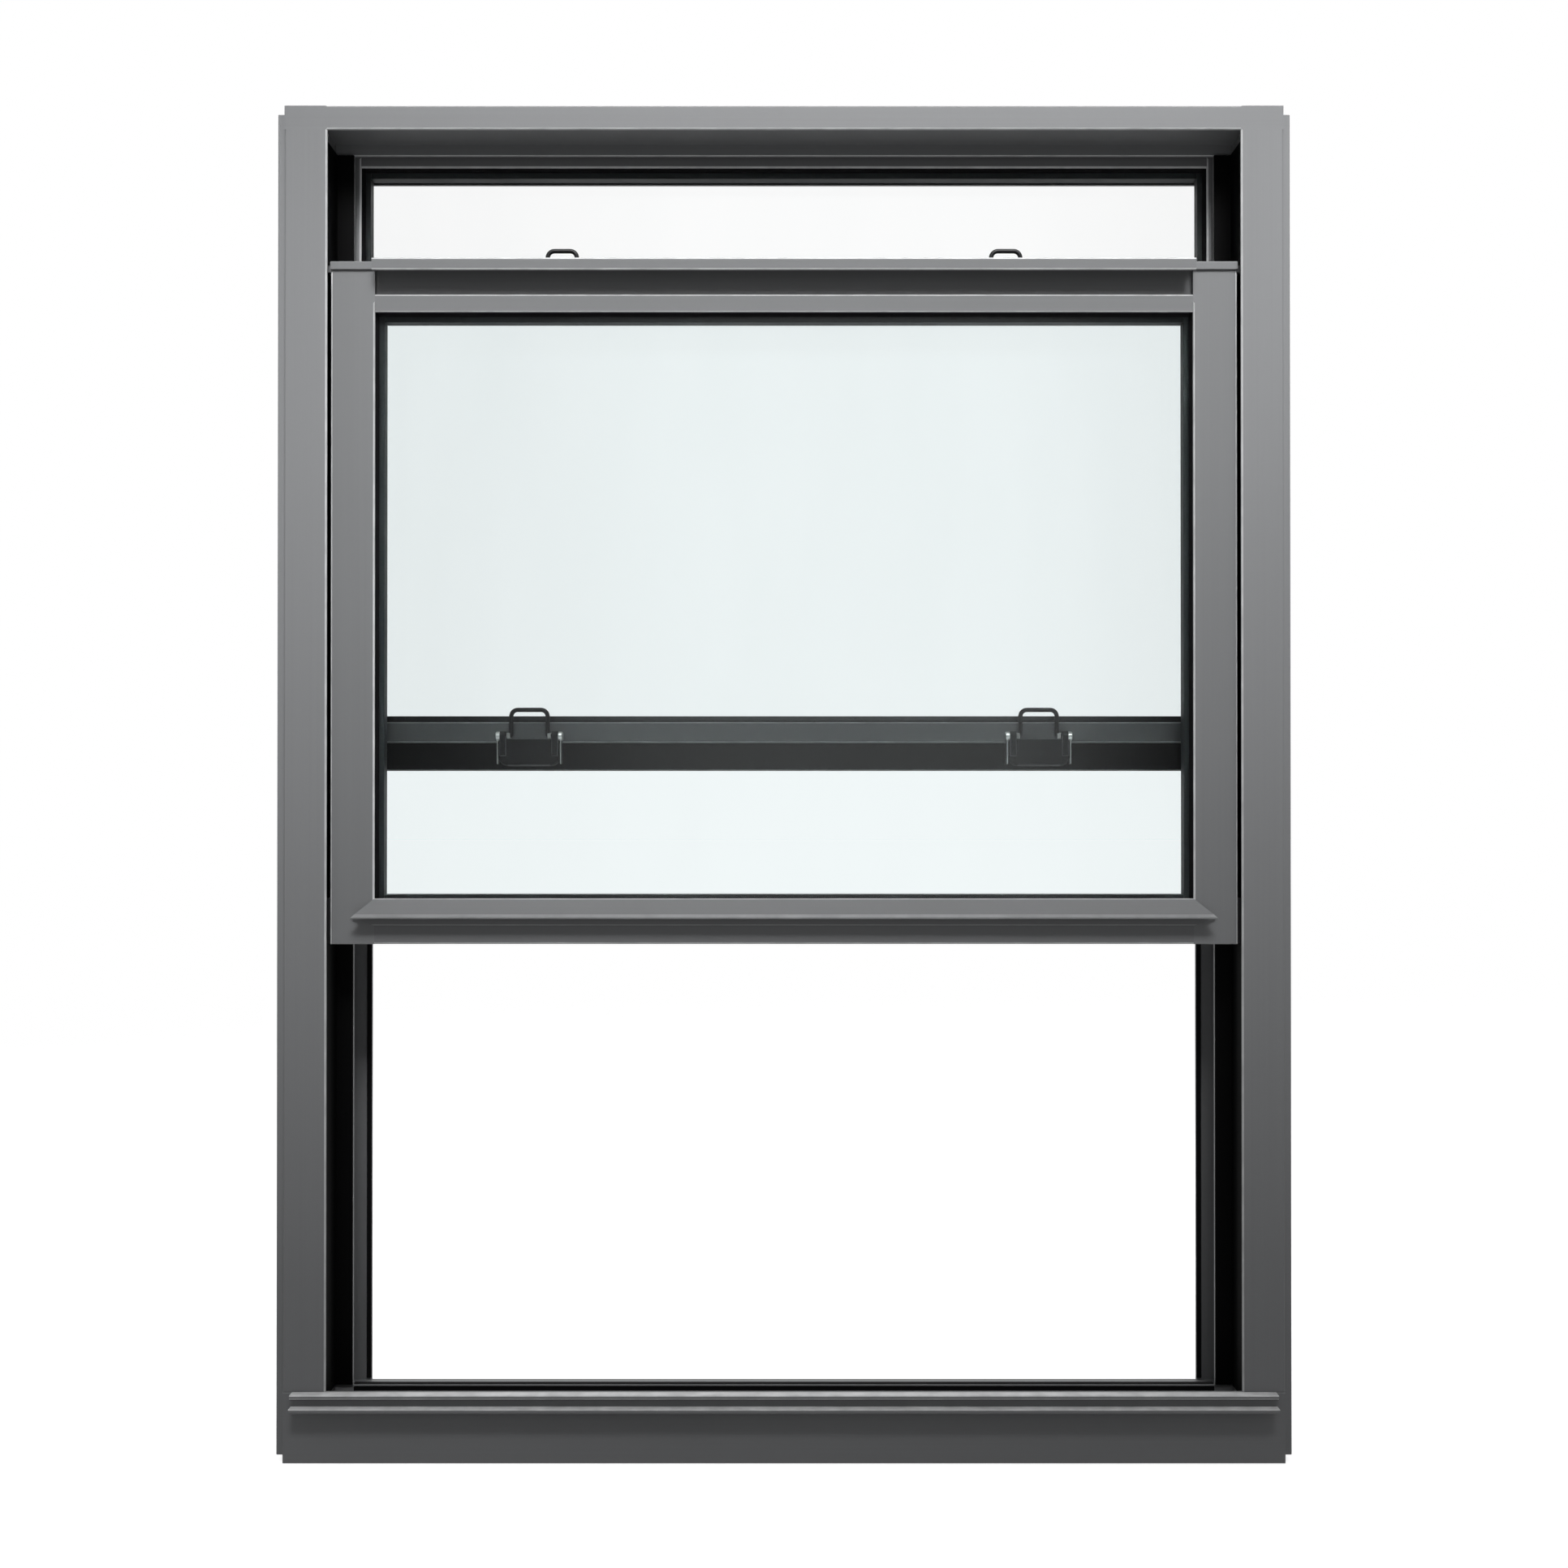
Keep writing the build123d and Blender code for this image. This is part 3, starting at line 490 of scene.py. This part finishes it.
def dark_skin(name, colour, roughness, specular, pebbles, depth):
    finish = Finish(name)
    finish.set(Specular_IOR_Level=specular)
    skin = finish.group(PEBBLED_SKIN, Pebbles_per_metre=pebbles, Clouds_per_metre=12.0)
    finish.feed("Base Color", finish.mix(skin.outputs["Tone"], scaled(colour, 0.8), scaled(colour, 1.25)))
    finish.feed("Roughness", finish.span(skin.outputs["Tone"], roughness - 0.06, roughness + 0.06))
    finish.bump(skin.outputs["Height"], depth, 0.6)
    return finish.material


RUBBER = dark_skin("gasket_rubber", (0.004, 0.004, 0.0045), 0.75, 0.08, 900.0, 0.06 * MM)
VINYL = dark_skin("track_vinyl", (0.0016, 0.0016, 0.0018), 0.6, 0.04, 300.0, 0.03 * MM)
NYLON = dark_skin("guide_nylon", (0.018, 0.018, 0.019), 0.5, 0.3, 1200.0, 0.03 * MM)
SPACER_GREY = dark_skin("spacer_grey", (0.028, 0.033, 0.035), 0.5, 0.12, 500.0, 0.02 * MM)
ENAMEL = dark_skin("black_enamel", (0.010, 0.010, 0.011), 0.42, 0.2, 800.0, 0.06 * MM)
# Black enamel for the castings; its rounded edges take a paler grey, a painted highlight.
CAST_ENAMEL = powder_coat("cast_enamel", (0.008, 0.008, 0.009), RUN_X, (0.16, 0.16, 0.165))
print("dark finishes", [m.name for m in (RUBBER, VINYL, NYLON, SPACER_GREY, ENAMEL, CAST_ENAMEL)])

# %% [markdown]
# Bright zinc on the small steel parts is a true metal: its colour is what it reflects. A little unevenness in gloss
# keeps it from looking like a mirror.

# %% Bright steel


def bright_zinc():
    finish = Finish("bright_zinc")
    finish.set(Metallic=1.0)
    skin = finish.group(PEBBLED_SKIN, Pebbles_per_metre=1500.0, Clouds_per_metre=200.0)
    finish.feed("Base Color", finish.mix(skin.outputs["Tone"], (0.46, 0.46, 0.45), (0.62, 0.62, 0.60)))
    finish.feed("Roughness", finish.span(skin.outputs["Tone"], 0.28, 0.42))
    finish.bump(skin.outputs["Height"], 0.02 * MM, 0.5)
    return finish.material


ZINC = bright_zinc()
print("metal", ZINC.name)

# %% [markdown]
# ## Glass
# Each pane is a real 4 mm slab, so light bends at both of its faces and the far rail shows through two panes of the
# lower sash. Real float glass has an index near 1.5. It is 1.3 here, a choice for the look: the panes then mirror
# less and stay as clear as in the picture. The lower unit has a faint blue-green cast, the upper one is almost clear.
# A thin film left by wiping changes the tint by about one part in a hundred.

# %% Glass
GLASS_IOR = 1.3
LOWER_TINT = (0.945, 0.975, 0.977)
UPPER_TINT = (0.990, 0.995, 0.995)


def float_glass(name, tint):
    finish = Finish(name)
    finish.set(Roughness=0.0, IOR=GLASS_IOR, Transmission_Weight=1.0)
    film = finish.group(DRAW_LINES, Lines_per_metre=(14.0, 14.0, 4.0))
    finish.feed("Base Color", finish.mix(film.outputs["Lines"], scaled(tint, 0.99), scaled(tint, 1.01)))
    return finish.material


GLASS = {"lower": float_glass("lower_glass", LOWER_TINT), "upper": float_glass("upper_glass", UPPER_TINT)}
print("glass", [m.name for m in GLASS.values()])

# %% [markdown]
# ## Giving each CAD node its finish
# Nodes whose shape is already right keep their mesh and only take a finish. Their names say what they are, so a few
# words in a name pick the material.

# %% Finishes for the CAD nodes
NODE_FINISHES = {
    "gasket": RUBBER,
    "spacer": SPACER_GREY,
    "track": VINYL,
    "shoe": NYLON,
    "catch": CAST_ENAMEL,
    "bail": ENAMEL,
}


def finish_for(node):
    if "pane" in node:
        return GLASS[node.split("_")[0]]
    for word, material in NODE_FINISHES.items():
        if word in node:
            return material
    if "nosing" in node:
        return NOSING_PAINT
    upright = "jamb" in node or "stile" in node
    if node.startswith(("lower", "upper")):
        return SASH_PAINT_Z if upright else SASH_PAINT_X
    return FRAME_PAINT_Z if upright else FRAME_PAINT_X


for node, piece in frame["nodes"].items():
    piece.data.materials.clear()
    piece.data.materials.append(finish_for(node))
print("finished", len(frame["nodes"]), "nodes")

# %% [markdown]
# ## New pieces
# A piece that is drawn anew takes the place of its CAD node. It lies at the origin of the shared frame, rides on the
# same body and takes the same finish, so it moves as the solid does. The solids arrive as loose triangles, so
# a copy is merged and freed of needless triangles before any edge of it is rounded.

# %% Helpers for pieces
WELD = 0.001 * MM
FLAT_ANGLE = math.radians(1.0)
SHARP_ANGLE = math.radians(35.0)
BODY_OF = {node: body for body, nodes in frame["record"]["behaviour"]["bodies"].items() for node in nodes}


def add_piece(name, bm, material, body, replaced=()):
    """Object at the origin from a finished bmesh, riding on a body."""
    mesh = bpy.data.meshes.new(name)
    bm.to_mesh(mesh)
    bm.free()
    mesh.materials.append(material)
    piece = bpy.data.objects.new(name, mesh)
    scene.collection.objects.link(piece)
    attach(piece, body)
    if replaced:
        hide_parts(*replaced)


def replace_node(node, ending, bm, material):
    """Piece in the place of a CAD node."""
    add_piece(node + ending, bm, material, BODY_OF[node], [node])


def merged_copy(node):
    """Mesh of a CAD node with its corners joined and its flat faces whole."""
    bm = bmesh.new()
    bm.from_mesh(frame["nodes"][node].data)
    bmesh.ops.remove_doubles(bm, verts=bm.verts, dist=WELD)
    bmesh.ops.dissolve_limit(bm, angle_limit=FLAT_ANGLE, verts=bm.verts, edges=bm.edges)
    return bm


def soften(bm, edges, width):
    """Small rounding of the given edges."""
    bmesh.ops.bevel(
        bm, geom=edges, offset=width, offset_type="OFFSET", affect="EDGES", segments=2, profile=0.5, material=-1,
    )


# %% [markdown]
# ## Rounded edges
# No painted bar has knife edges, and the thin bright lines along the lips and rails in the picture are light caught
# by small roundings. A bevel on the whole mesh would also round the hidden chambers and fold thin walls over, so only
# the outward edges along the run of a bar are bevelled. The new faces carry a value in an attribute named edge, from
# which the paint turns them paler: a painted highlight on top of the light the roundings catch.

# %% Helpers for rounding
EDGE_WIDTH = 0.9 * MM
FRONT_WIDTH = 1.5 * MM
EDGE_SEGMENTS = 3
ALONG = 0.99
OUTER_MARGIN = 2.0 * MM
OUTER_FLANGE = 8.0 * MM


def sharp_runs(bm, axis):
    """Outward edges along the run of a bar."""
    runs = []
    for edge in bm.edges:
        if not edge.is_manifold or edge.calc_face_angle_signed() < SHARP_ANGLE:
            continue
        run = (edge.verts[1].co - edge.verts[0].co).normalized()
        if abs(run.dot(axis)) > ALONG:
            runs.append(edge)
    return runs


def round_edges(bm, edges, width, highlit, highlight):
    made = bmesh.ops.bevel(
        bm, geom=edges, offset=width, offset_type="OFFSET", affect="EDGES", segments=EDGE_SEGMENTS,
        profile=0.5, material=-1, clamp_overlap=False,
    )
    # The rounded faces take a painted highlight of the given strength.
    for face in made["faces"]:
        face.smooth = True
        face[highlit] = highlight


def on_outside(point):
    """True near the outer sides of the frame, which the wall covers."""
    level = point.z > cad_high.z - OUTER_MARGIN or point.z < OUTER_MARGIN
    return level or abs(point.x) > cad_high.x - OUTER_FLANGE


print("edges", EDGE_WIDTH, "front edges", FRONT_WIDTH)

# %% [markdown]
# Where a rail butts on a stile, or the head on a jamb, the two faces lie flush, and a bright rounding there would draw
# a seam that the picture doesn't show. Those bars get a cut line at each end of the daylight, and beyond it their
# inner edges stay sharp. The tops of the nosing's lips are painted a pale grey, a painted highlight for the light
# they catch from above.

# %% Rounded bars
TOUCH = 0.2 * MM
BUTT_MARGIN = 2.0 * MM
# Strength of the painted edge highlight on the sill and the lift rail.
SILL_HIGHLIGHT = 0.2
LIFT_HIGHLIGHT = 0.3
FACING_UP = 0.5


def cut_at_daylight(bm, axis, daylight):
    """Cut lines round a bar where the bars across it end and the opening begins."""
    for place in daylight:
        everything = [*bm.verts, *bm.edges, *bm.faces]
        bmesh.ops.bisect_plane(bm, geom=everything, plane_co=axis * place, plane_no=axis)


def butted(edge, bm, axis, daylight):
    """True for the inner edges of a bar where another one lies flush against them."""
    middle = (edge.verts[0].co + edge.verts[1].co) / 2
    if daylight[0] < middle.dot(axis) < daylight[1]:
        return False
    if axis.x:
        return middle.y < front_y + TOUCH
    return abs(middle.x) < min(abs(vert.co.x) for vert in bm.verts) + BUTT_MARGIN


def rounded_bar(node, axis, highlight=1.0, bright=None, daylight=None):
    bm = merged_copy(node)
    highlit = bm.faces.layers.float.new("edge")
    if daylight:
        cut_at_daylight(bm, axis, daylight)
    nearest = min(vert.co.y for vert in bm.verts) + TOUCH
    for width, wanted in ((EDGE_WIDTH, False), (FRONT_WIDTH, True)):
        runs = [e for e in sharp_runs(bm, axis) if all(v.co.y < nearest for v in e.verts) == wanted]
        if daylight:
            runs = [e for e in runs if not butted(e, bm, axis, daylight)]
        round_edges(bm, runs, width, highlit, highlight)
    # Picked faces take the full painted highlight, faces on the outer sides none.
    for face in bm.faces:
        if bright and bright(face):
            face[highlit] = 1.0
        elif on_outside(face.calc_center_median()):
            face[highlit] = 0.0
    open_edges = sum(not edge.is_manifold for edge in bm.edges)
    faces = len(bm.faces)
    replace_node(node, "_rounded", bm, finish_for(node))
    print(node, "faces", faces, "open", open_edges)


ACROSS = Vector((1.0, 0.0, 0.0))
UPWARD = Vector((0.0, 0.0, 1.0))
for bar in ("left_jamb", "right_jamb"):
    rounded_bar(bar, UPWARD)
for sash in ("lower", "upper"):
    seal_low, seal_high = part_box(f"{sash}_inner_gasket")
    for side in ("left", "right"):
        rounded_bar(f"{sash}_{side}_stile", UPWARD, daylight=(seal_low.z, seal_high.z))
JAMB_FACE = 44.0 * MM
rounded_bar("head", ACROSS, daylight=(cad_low.x + JAMB_FACE, cad_high.x - JAMB_FACE))
rounded_bar("sill", ACROSS, highlight=SILL_HIGHLIGHT)
for bar in ("lower_top_rail", "lower_bottom_rail", "upper_top_rail", "upper_meeting_rail"):
    rounded_bar(bar, ACROSS)
rounded_bar("lower_lift_rail", ACROSS, highlight=LIFT_HIGHLIGHT)


def lip_top_highlight(face):
    """The upper side of a lip of the nosing, painted pale as a painted highlight."""
    return face.normal.z > FACING_UP


rounded_bar("sill_nosing", ACROSS, bright=lip_top_highlight)

# %% [markdown]
# ## Catches
# The catches are castings. Their long corners are rounded as on any casting, and there the enamel is painted a paler
# grey, a painted highlight. The rims of the small bores stay as they are: their edges are short, so their length tells
# them apart.

# %% Rounded castings
CAST_EDGE = 0.6 * MM
SHORT_EDGE = 3.0 * MM


def rounded_casting(node):
    bm = merged_copy(node)
    highlit = bm.faces.layers.float.new("edge")
    corners = [edge for edge in bm.edges if edge.is_manifold and edge.calc_length() > SHORT_EDGE
               and edge.calc_face_angle_signed() > SHARP_ANGLE]
    # The rounded corners take the full painted highlight.
    round_edges(bm, corners, CAST_EDGE, highlit, 1.0)
    open_edges = sum(not edge.is_manifold for edge in bm.edges)
    replace_node(node, "_rounded", bm, CAST_ENAMEL)
    print(node, "corners", len(corners), "open", open_edges)


for sash in ("lower", "upper"):
    for side in ("left", "right"):
        rounded_casting(f"{sash}_{side}_catch")

# %% [markdown]
# ## Spacer bars
# A dark bar runs round between the two panes of each sealed unit and shows as a slate line inside the gasket. In the
# solids it fills the gap from pane to pane. Light that leaves the glass exactly on the face of the bar would miss
# that face, so a copy of the bar is drawn in a tenth of a millimetre at both panes and its edges are rounded.

# %% Spacers
SPACER_GAP = 0.1 * MM
SPACER_EDGE = 0.4 * MM


def spacer_bar(node):
    low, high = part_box(node)
    bm = merged_copy(node)
    depth = high.y - low.y
    bmesh.ops.scale(
        bm, vec=(1.0, (depth - 2 * SPACER_GAP) / depth, 1.0), verts=bm.verts,
        space=Matrix.Translation(-(low + high) / 2),
    )
    ridges = [edge for edge in bm.edges if edge.is_manifold and edge.calc_face_angle_signed() > SHARP_ANGLE]
    soften(bm, ridges, SPACER_EDGE)
    replace_node(node, "_bar", bm, SPACER_GREY)


for sash in ("lower", "upper"):
    spacer_bar(f"{sash}_spacer")
print("spacer bars", 2)

# %% [markdown]
# ## Round wire
# The bails are bent from round wire. In the solids they have eight sides, which is enough for fit. Here a ring of
# points is drawn out along the straights and spun round each bend, as the wire is bent over a pin.

# %% Bails
WIRE_SIDES = 16
BEND_STEPS = 8
BEND = 6.0 * MM
FOOT_BEND = 2.5 * MM
FOOT_LENGTH = 10.0 * MM


class Wire:
    """A wire that grows from its start, in the plane across the window."""

    def __init__(self, start, heading, radius):
        self.bm = bmesh.new()
        self.at = start.copy()
        self.heading = heading.normalized()
        turn = UPWARD.rotation_difference(self.heading).to_matrix().to_4x4()
        ring = bmesh.ops.create_circle(
            self.bm, cap_ends=True, segments=WIRE_SIDES, radius=radius, matrix=Matrix.Translation(start) @ turn
        )
        self.ring = list({edge for vert in ring["verts"] for edge in vert.link_edges})

    def run(self, length):
        grown = bmesh.ops.extrude_edge_only(self.bm, edges=self.ring)["geom"]
        verts = [item for item in grown if isinstance(item, bmesh.types.BMVert)]
        self.ring = [edge for edge in grown if isinstance(edge, bmesh.types.BMEdge)
                     and all(vert in verts for vert in edge.verts)]
        bmesh.ops.translate(self.bm, verts=verts, vec=self.heading * length)
        self.at += self.heading * length

    def turn(self, angle, radius):
        """Bend to the right for a positive angle, as seen from the room."""
        axis = Vector((0.0, 1.0, 0.0))
        side = axis.cross(self.heading) * math.copysign(1.0, angle)
        centre = self.at + side * radius
        verts = list({vert for edge in self.ring for vert in edge.verts})
        spun = bmesh.ops.spin(
            self.bm, geom=verts + self.ring, cent=centre, axis=axis, dvec=(0.0, 0.0, 0.0), angle=angle,
            steps=BEND_STEPS, use_duplicate=False,
        )["geom_last"]
        self.ring = [edge for edge in spun if isinstance(edge, bmesh.types.BMEdge)]
        swing = Matrix.Rotation(angle, 3, axis)
        self.at = centre + swing @ (self.at - centre)
        self.heading = swing @ self.heading

    def close(self):
        bmesh.ops.edgeloop_fill(self.bm, edges=self.ring)
        bmesh.ops.recalc_face_normals(self.bm, faces=self.bm.faces)
        for face in self.bm.faces:
            face.smooth = len(face.verts) == 4
        return self.bm


RIGHT_ANGLE = math.radians(90)


def standing_bail(node):
    low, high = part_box(node)
    radius = (high.y - low.y) / 2
    rise = high.z - low.z - radius - BEND
    across = high.x - low.x - 2 * radius - 2 * BEND
    wire = Wire(Vector((low.x + radius, (low.y + high.y) / 2, low.z)), UPWARD, radius)
    for step, bend in ((rise, BEND), (across, BEND)):
        wire.run(step)
        wire.turn(RIGHT_ANGLE, bend)
    wire.run(rise)
    replace_node(node, "_wire", wire.close(), ENAMEL)


def pivoted_bail(node):
    low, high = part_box(node)
    radius = (high.y - low.y) / 2
    foot = FOOT_LENGTH - FOOT_BEND
    rise = high.z - low.z - 2 * radius - BEND - FOOT_BEND
    across = high.x - low.x - 2 * (FOOT_LENGTH + BEND)
    wire = Wire(Vector((low.x, (low.y + high.y) / 2, low.z + radius)), ACROSS, radius)
    wire.run(foot)
    wire.turn(-RIGHT_ANGLE, FOOT_BEND)
    for step in (rise, across):
        wire.run(step)
        wire.turn(RIGHT_ANGLE, BEND)
    wire.run(rise)
    wire.turn(-RIGHT_ANGLE, FOOT_BEND)
    wire.run(foot)
    replace_node(node, "_wire", wire.close(), ENAMEL)


for side in ("left", "right"):
    standing_bail(f"lower_{side}_bail")
    pivoted_bail(f"upper_{side}_bail")
print("bails of", WIRE_SIDES, "sided wire")

# %% [markdown]
# ## Small steel parts of the upper catches
# Bright points at both ends of the upper catches show that steel is fixed there: the bail turns on a pin, a coil
# spring lies between its leg and the ear, and a collar outside keeps the pin in. Thin end plates close the housing.
# A spring is one ring of points, spun round its axis while it moves along it.

# %% Collars, springs and end plates
COLLAR_RADIUS = 4.2 * MM
COLLAR_LENGTH = 4.0 * MM
COLLAR_RIM = 0.8 * MM
SPRING_RADIUS = 2.9 * MM
SPRING_WIRE = 0.45 * MM
SPRING_SIDES = 8
SPRING_TURNS = 3
STEPS_PER_TURN = 20
PLATE = 1.2 * MM
PLATE_INSET = 2.0 * MM
PLATE_BELOW_TOP = 5.0 * MM
PLATE_EDGE = 0.3 * MM
EAR_GAP = 4.0 * MM
LEG_TO_FOOT_END = 10.0 * MM


def add_box(bm, low, high):
    middle = (Vector(low) + Vector(high)) / 2
    size = Vector(high) - Vector(low)
    bmesh.ops.create_cube(bm, size=1.0, matrix=Matrix.Translation(middle) @ Matrix.Diagonal((*size, 1.0)))


def spun_profile(bm, profile, place, axis, steps=24):
    """Turned part: points of radius and height along an axis."""
    turn = UPWARD.rotation_difference(axis).to_matrix()
    points = [bm.verts.new(place + turn @ Vector((radius, 0.0, height))) for radius, height in profile]
    edges = [bm.edges.new(two) for two in zip(points, points[1:])]
    bmesh.ops.spin(
        bm, geom=points + edges, cent=place, axis=axis, dvec=(0.0, 0.0, 0.0), angle=math.tau, steps=steps,
        use_merge=True, use_duplicate=False,
    )
    bmesh.ops.remove_doubles(bm, verts=bm.verts, dist=WELD)


def make_collar(name, pivot, outward):
    profile = [
        (0.0, 0.0),
        (COLLAR_RADIUS, 0.0),
        (COLLAR_RADIUS, COLLAR_LENGTH - COLLAR_RIM),
        (COLLAR_RADIUS - COLLAR_RIM, COLLAR_LENGTH),
        (0.0, COLLAR_LENGTH),
    ]
    bm = bmesh.new()
    spun_profile(bm, profile, pivot, outward)
    bmesh.ops.recalc_face_normals(bm, faces=bm.faces)
    add_piece(name, bm, ZINC, "upper_sash")


def make_spring(name, start, outward):
    bm = bmesh.new()
    middle = start + Vector((0.0, 0.0, SPRING_RADIUS))
    facing = Matrix.Rotation(RIGHT_ANGLE, 4, "X")
    ring = bmesh.ops.create_circle(
        bm, segments=SPRING_SIDES, radius=SPRING_WIRE, matrix=Matrix.Translation(middle) @ facing
    )["verts"]
    edges = list({edge for vert in ring for edge in vert.link_edges})
    steps = STEPS_PER_TURN * SPRING_TURNS
    advance = outward * ((EAR_GAP - 2 * SPRING_WIRE) / steps)
    bmesh.ops.spin(
        bm, geom=ring + edges, cent=start, axis=outward, dvec=advance, angle=math.tau * SPRING_TURNS, steps=steps,
        use_duplicate=False,
    )
    bmesh.ops.holes_fill(bm, edges=bm.edges)
    bmesh.ops.recalc_face_normals(bm, faces=bm.faces)
    for face in bm.faces:
        face.smooth = len(face.verts) == 4
    add_piece(name, bm, ZINC, "upper_sash")


def make_end_plate(name, low, high, outward):
    bm = bmesh.new()
    face_x = high.x if outward.x > 0 else low.x - PLATE
    near = (face_x, low.y + PLATE_INSET, low.z + PLATE_INSET)
    add_box(bm, near, (face_x + PLATE, high.y, high.z - PLATE_BELOW_TOP))
    soften(bm, bm.edges, PLATE_EDGE)
    add_piece(name, bm, ZINC, "upper_sash")


for side in ("left", "right"):
    bail_low, bail_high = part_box(f"upper_{side}_bail")
    catch_low, catch_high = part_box(f"upper_{side}_catch")
    pivot_z = bail_low.z + (bail_high.y - bail_low.y) / 2
    pivot_y = (bail_low.y + bail_high.y) / 2
    for end, outward, foot_x in (("a", -ACROSS, bail_low.x), ("b", ACROSS, bail_high.x)):
        foot = Vector((foot_x, pivot_y, pivot_z))
        make_collar(f"upper_{side}_collar_{end}", foot, outward)
        make_spring(f"upper_{side}_spring_{end}", foot - outward * (LEG_TO_FOOT_END - SPRING_WIRE), outward)
        make_end_plate(f"upper_{side}_end_plate_{end}", catch_low, catch_high, outward)
print("steel parts", 12)

# %% [markdown]
# ## Screws
# The bases of the lower catches are screwed to the top rail with button heads. Each head is a turned part: half of
# its section, with a socket sunk in the top, is spun once round its axis.

# %% Screws
SCREW_RADIUS = 2.8 * MM
SCREW_HEIGHT = 1.4 * MM
SOCKET_RADIUS = 1.2 * MM
SOCKET_FLOOR = 0.5 * SCREW_HEIGHT
HEAD_CURVE = ((0.6, 1.0), (0.9, 0.7), (1.0, 0.3), (1.0, 0.0))
SCREW_FROM_MIDDLE = 20.0 * MM


def make_screw(name, place, axis, body):
    profile = [(0.0, SOCKET_FLOOR), (SOCKET_RADIUS, SOCKET_FLOOR), (SOCKET_RADIUS, SCREW_HEIGHT)]
    profile += [(across * SCREW_RADIUS, up * SCREW_HEIGHT) for across, up in HEAD_CURVE]
    profile.append((0.0, 0.0))
    bm = bmesh.new()
    spun_profile(bm, profile, place, axis)
    bmesh.ops.recalc_face_normals(bm, faces=bm.faces)
    add_piece(name, bm, ZINC, body)


for side in ("left", "right"):
    base_low, base_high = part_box(f"lower_{side}_catch")
    middle = (base_low + base_high) / 2
    for end, shift in (("a", -SCREW_FROM_MIDDLE), ("b", SCREW_FROM_MIDDLE)):
        place = Vector((middle.x + shift, middle.y, base_high.z))
        make_screw(f"lower_{side}_screw_{end}", place, UPWARD, "lower_sash")
print("screws", 4)

# %% [markdown]
# ## Dark strips
# Rubber on the front and top of the sill's parting rib and a thin vinyl mat on the floor of the front track are seal
# and mat, and also a painted shade for the shade in that track. A dark strip darkens the inner edge of the blind stop
# behind the upper sash, and another, under the band of the meeting rail, is a painted shade for the shade the band
# casts. Each length is cut from straight strip, a bar with softened edges.

# %% Strips
STRIP_THICKNESS = 1.5 * MM
STRIP_EDGE = 0.25 * MM


def make_strip(name, boxes, body, material=RUBBER):
    bm = bmesh.new()
    for low, high in boxes:
        add_box(bm, low, high)
    soften(bm, bm.edges, STRIP_EDGE)
    add_piece(name, bm, material, body)


RIB_FRONT = front_y + 52.0 * MM
RIB_BACK = front_y + 56.0 * MM
RIB_TOP = 52.0 * MM
RIB_SHOWN = 1.8 * MM
RIB_REACH = 389.0 * MM
CAP_HEIGHT = 0.8 * MM
TRACK_FLOOR = 44.0 * MM
TRACK_FRONT = front_y + 3.0 * MM
TRACK_REACH = 406.5 * MM
MAT_HEIGHT = 0.6 * MM
strip_front = RIB_FRONT - STRIP_THICKNESS
# Rubber on the rib, also a painted shade for the shade in the front track.
make_strip(
    "sill_rib_seal_and_shade",
    [
        ((-RIB_REACH, strip_front, TRACK_FLOOR), (RIB_REACH, RIB_FRONT, RIB_TOP - RIB_SHOWN)),
        ((-RIB_REACH, RIB_FRONT, RIB_TOP), (RIB_REACH, RIB_BACK, RIB_TOP + CAP_HEIGHT)),
    ],
    "frame",
)
# Vinyl mat on the track floor, also a painted shade for the shade there.
make_strip(
    "sill_track_mat_and_shade",
    [((-TRACK_REACH, TRACK_FRONT, TRACK_FLOOR), (TRACK_REACH, strip_front, TRACK_FLOOR + MAT_HEIGHT))],
    "frame", VINYL,
)
BLIND_FRONT = front_y + 106.0 * MM
BLIND_EDGE = 386.0 * MM
BLIND_BASE = 39.5 * MM
BLIND_TOP = cad_high.z - 33.0 * MM
DARK_STRIP_WIDTH = 4.4 * MM
dark_strip_front = BLIND_FRONT - STRIP_THICKNESS
dark_strip_out = BLIND_EDGE + DARK_STRIP_WIDTH
# Dark strip that darkens the inner edge of the blind stop.
make_strip(
    "blind_stop_dark_strip",
    [
        ((-dark_strip_out, dark_strip_front, BLIND_BASE), (-BLIND_EDGE, BLIND_FRONT, BLIND_TOP)),
        ((BLIND_EDGE, dark_strip_front, BLIND_BASE), (dark_strip_out, BLIND_FRONT, BLIND_TOP)),
        ((-dark_strip_out, dark_strip_front, BLIND_TOP), (dark_strip_out, BLIND_FRONT, BLIND_TOP + DARK_STRIP_WIDTH)),
    ],
    "frame",
)
rail_low, rail_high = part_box("upper_meeting_rail")
FACE_SETBACK = 5.0 * MM
SHADE_STRIP_BASE = 1.0 * MM
SHADE_STRIP_TOP = 25.5 * MM
face_front = rail_low.y + FACE_SETBACK
# Dark strip under the band of the meeting rail: painted shade for the shade the band casts.
make_strip(
    "meeting_rail_painted_shade",
    [((rail_low.x, face_front - STRIP_THICKNESS, rail_low.z + SHADE_STRIP_BASE),
      (rail_high.x, face_front, rail_low.z + SHADE_STRIP_TOP))],
    "upper_sash",
)
print("strips", 4)
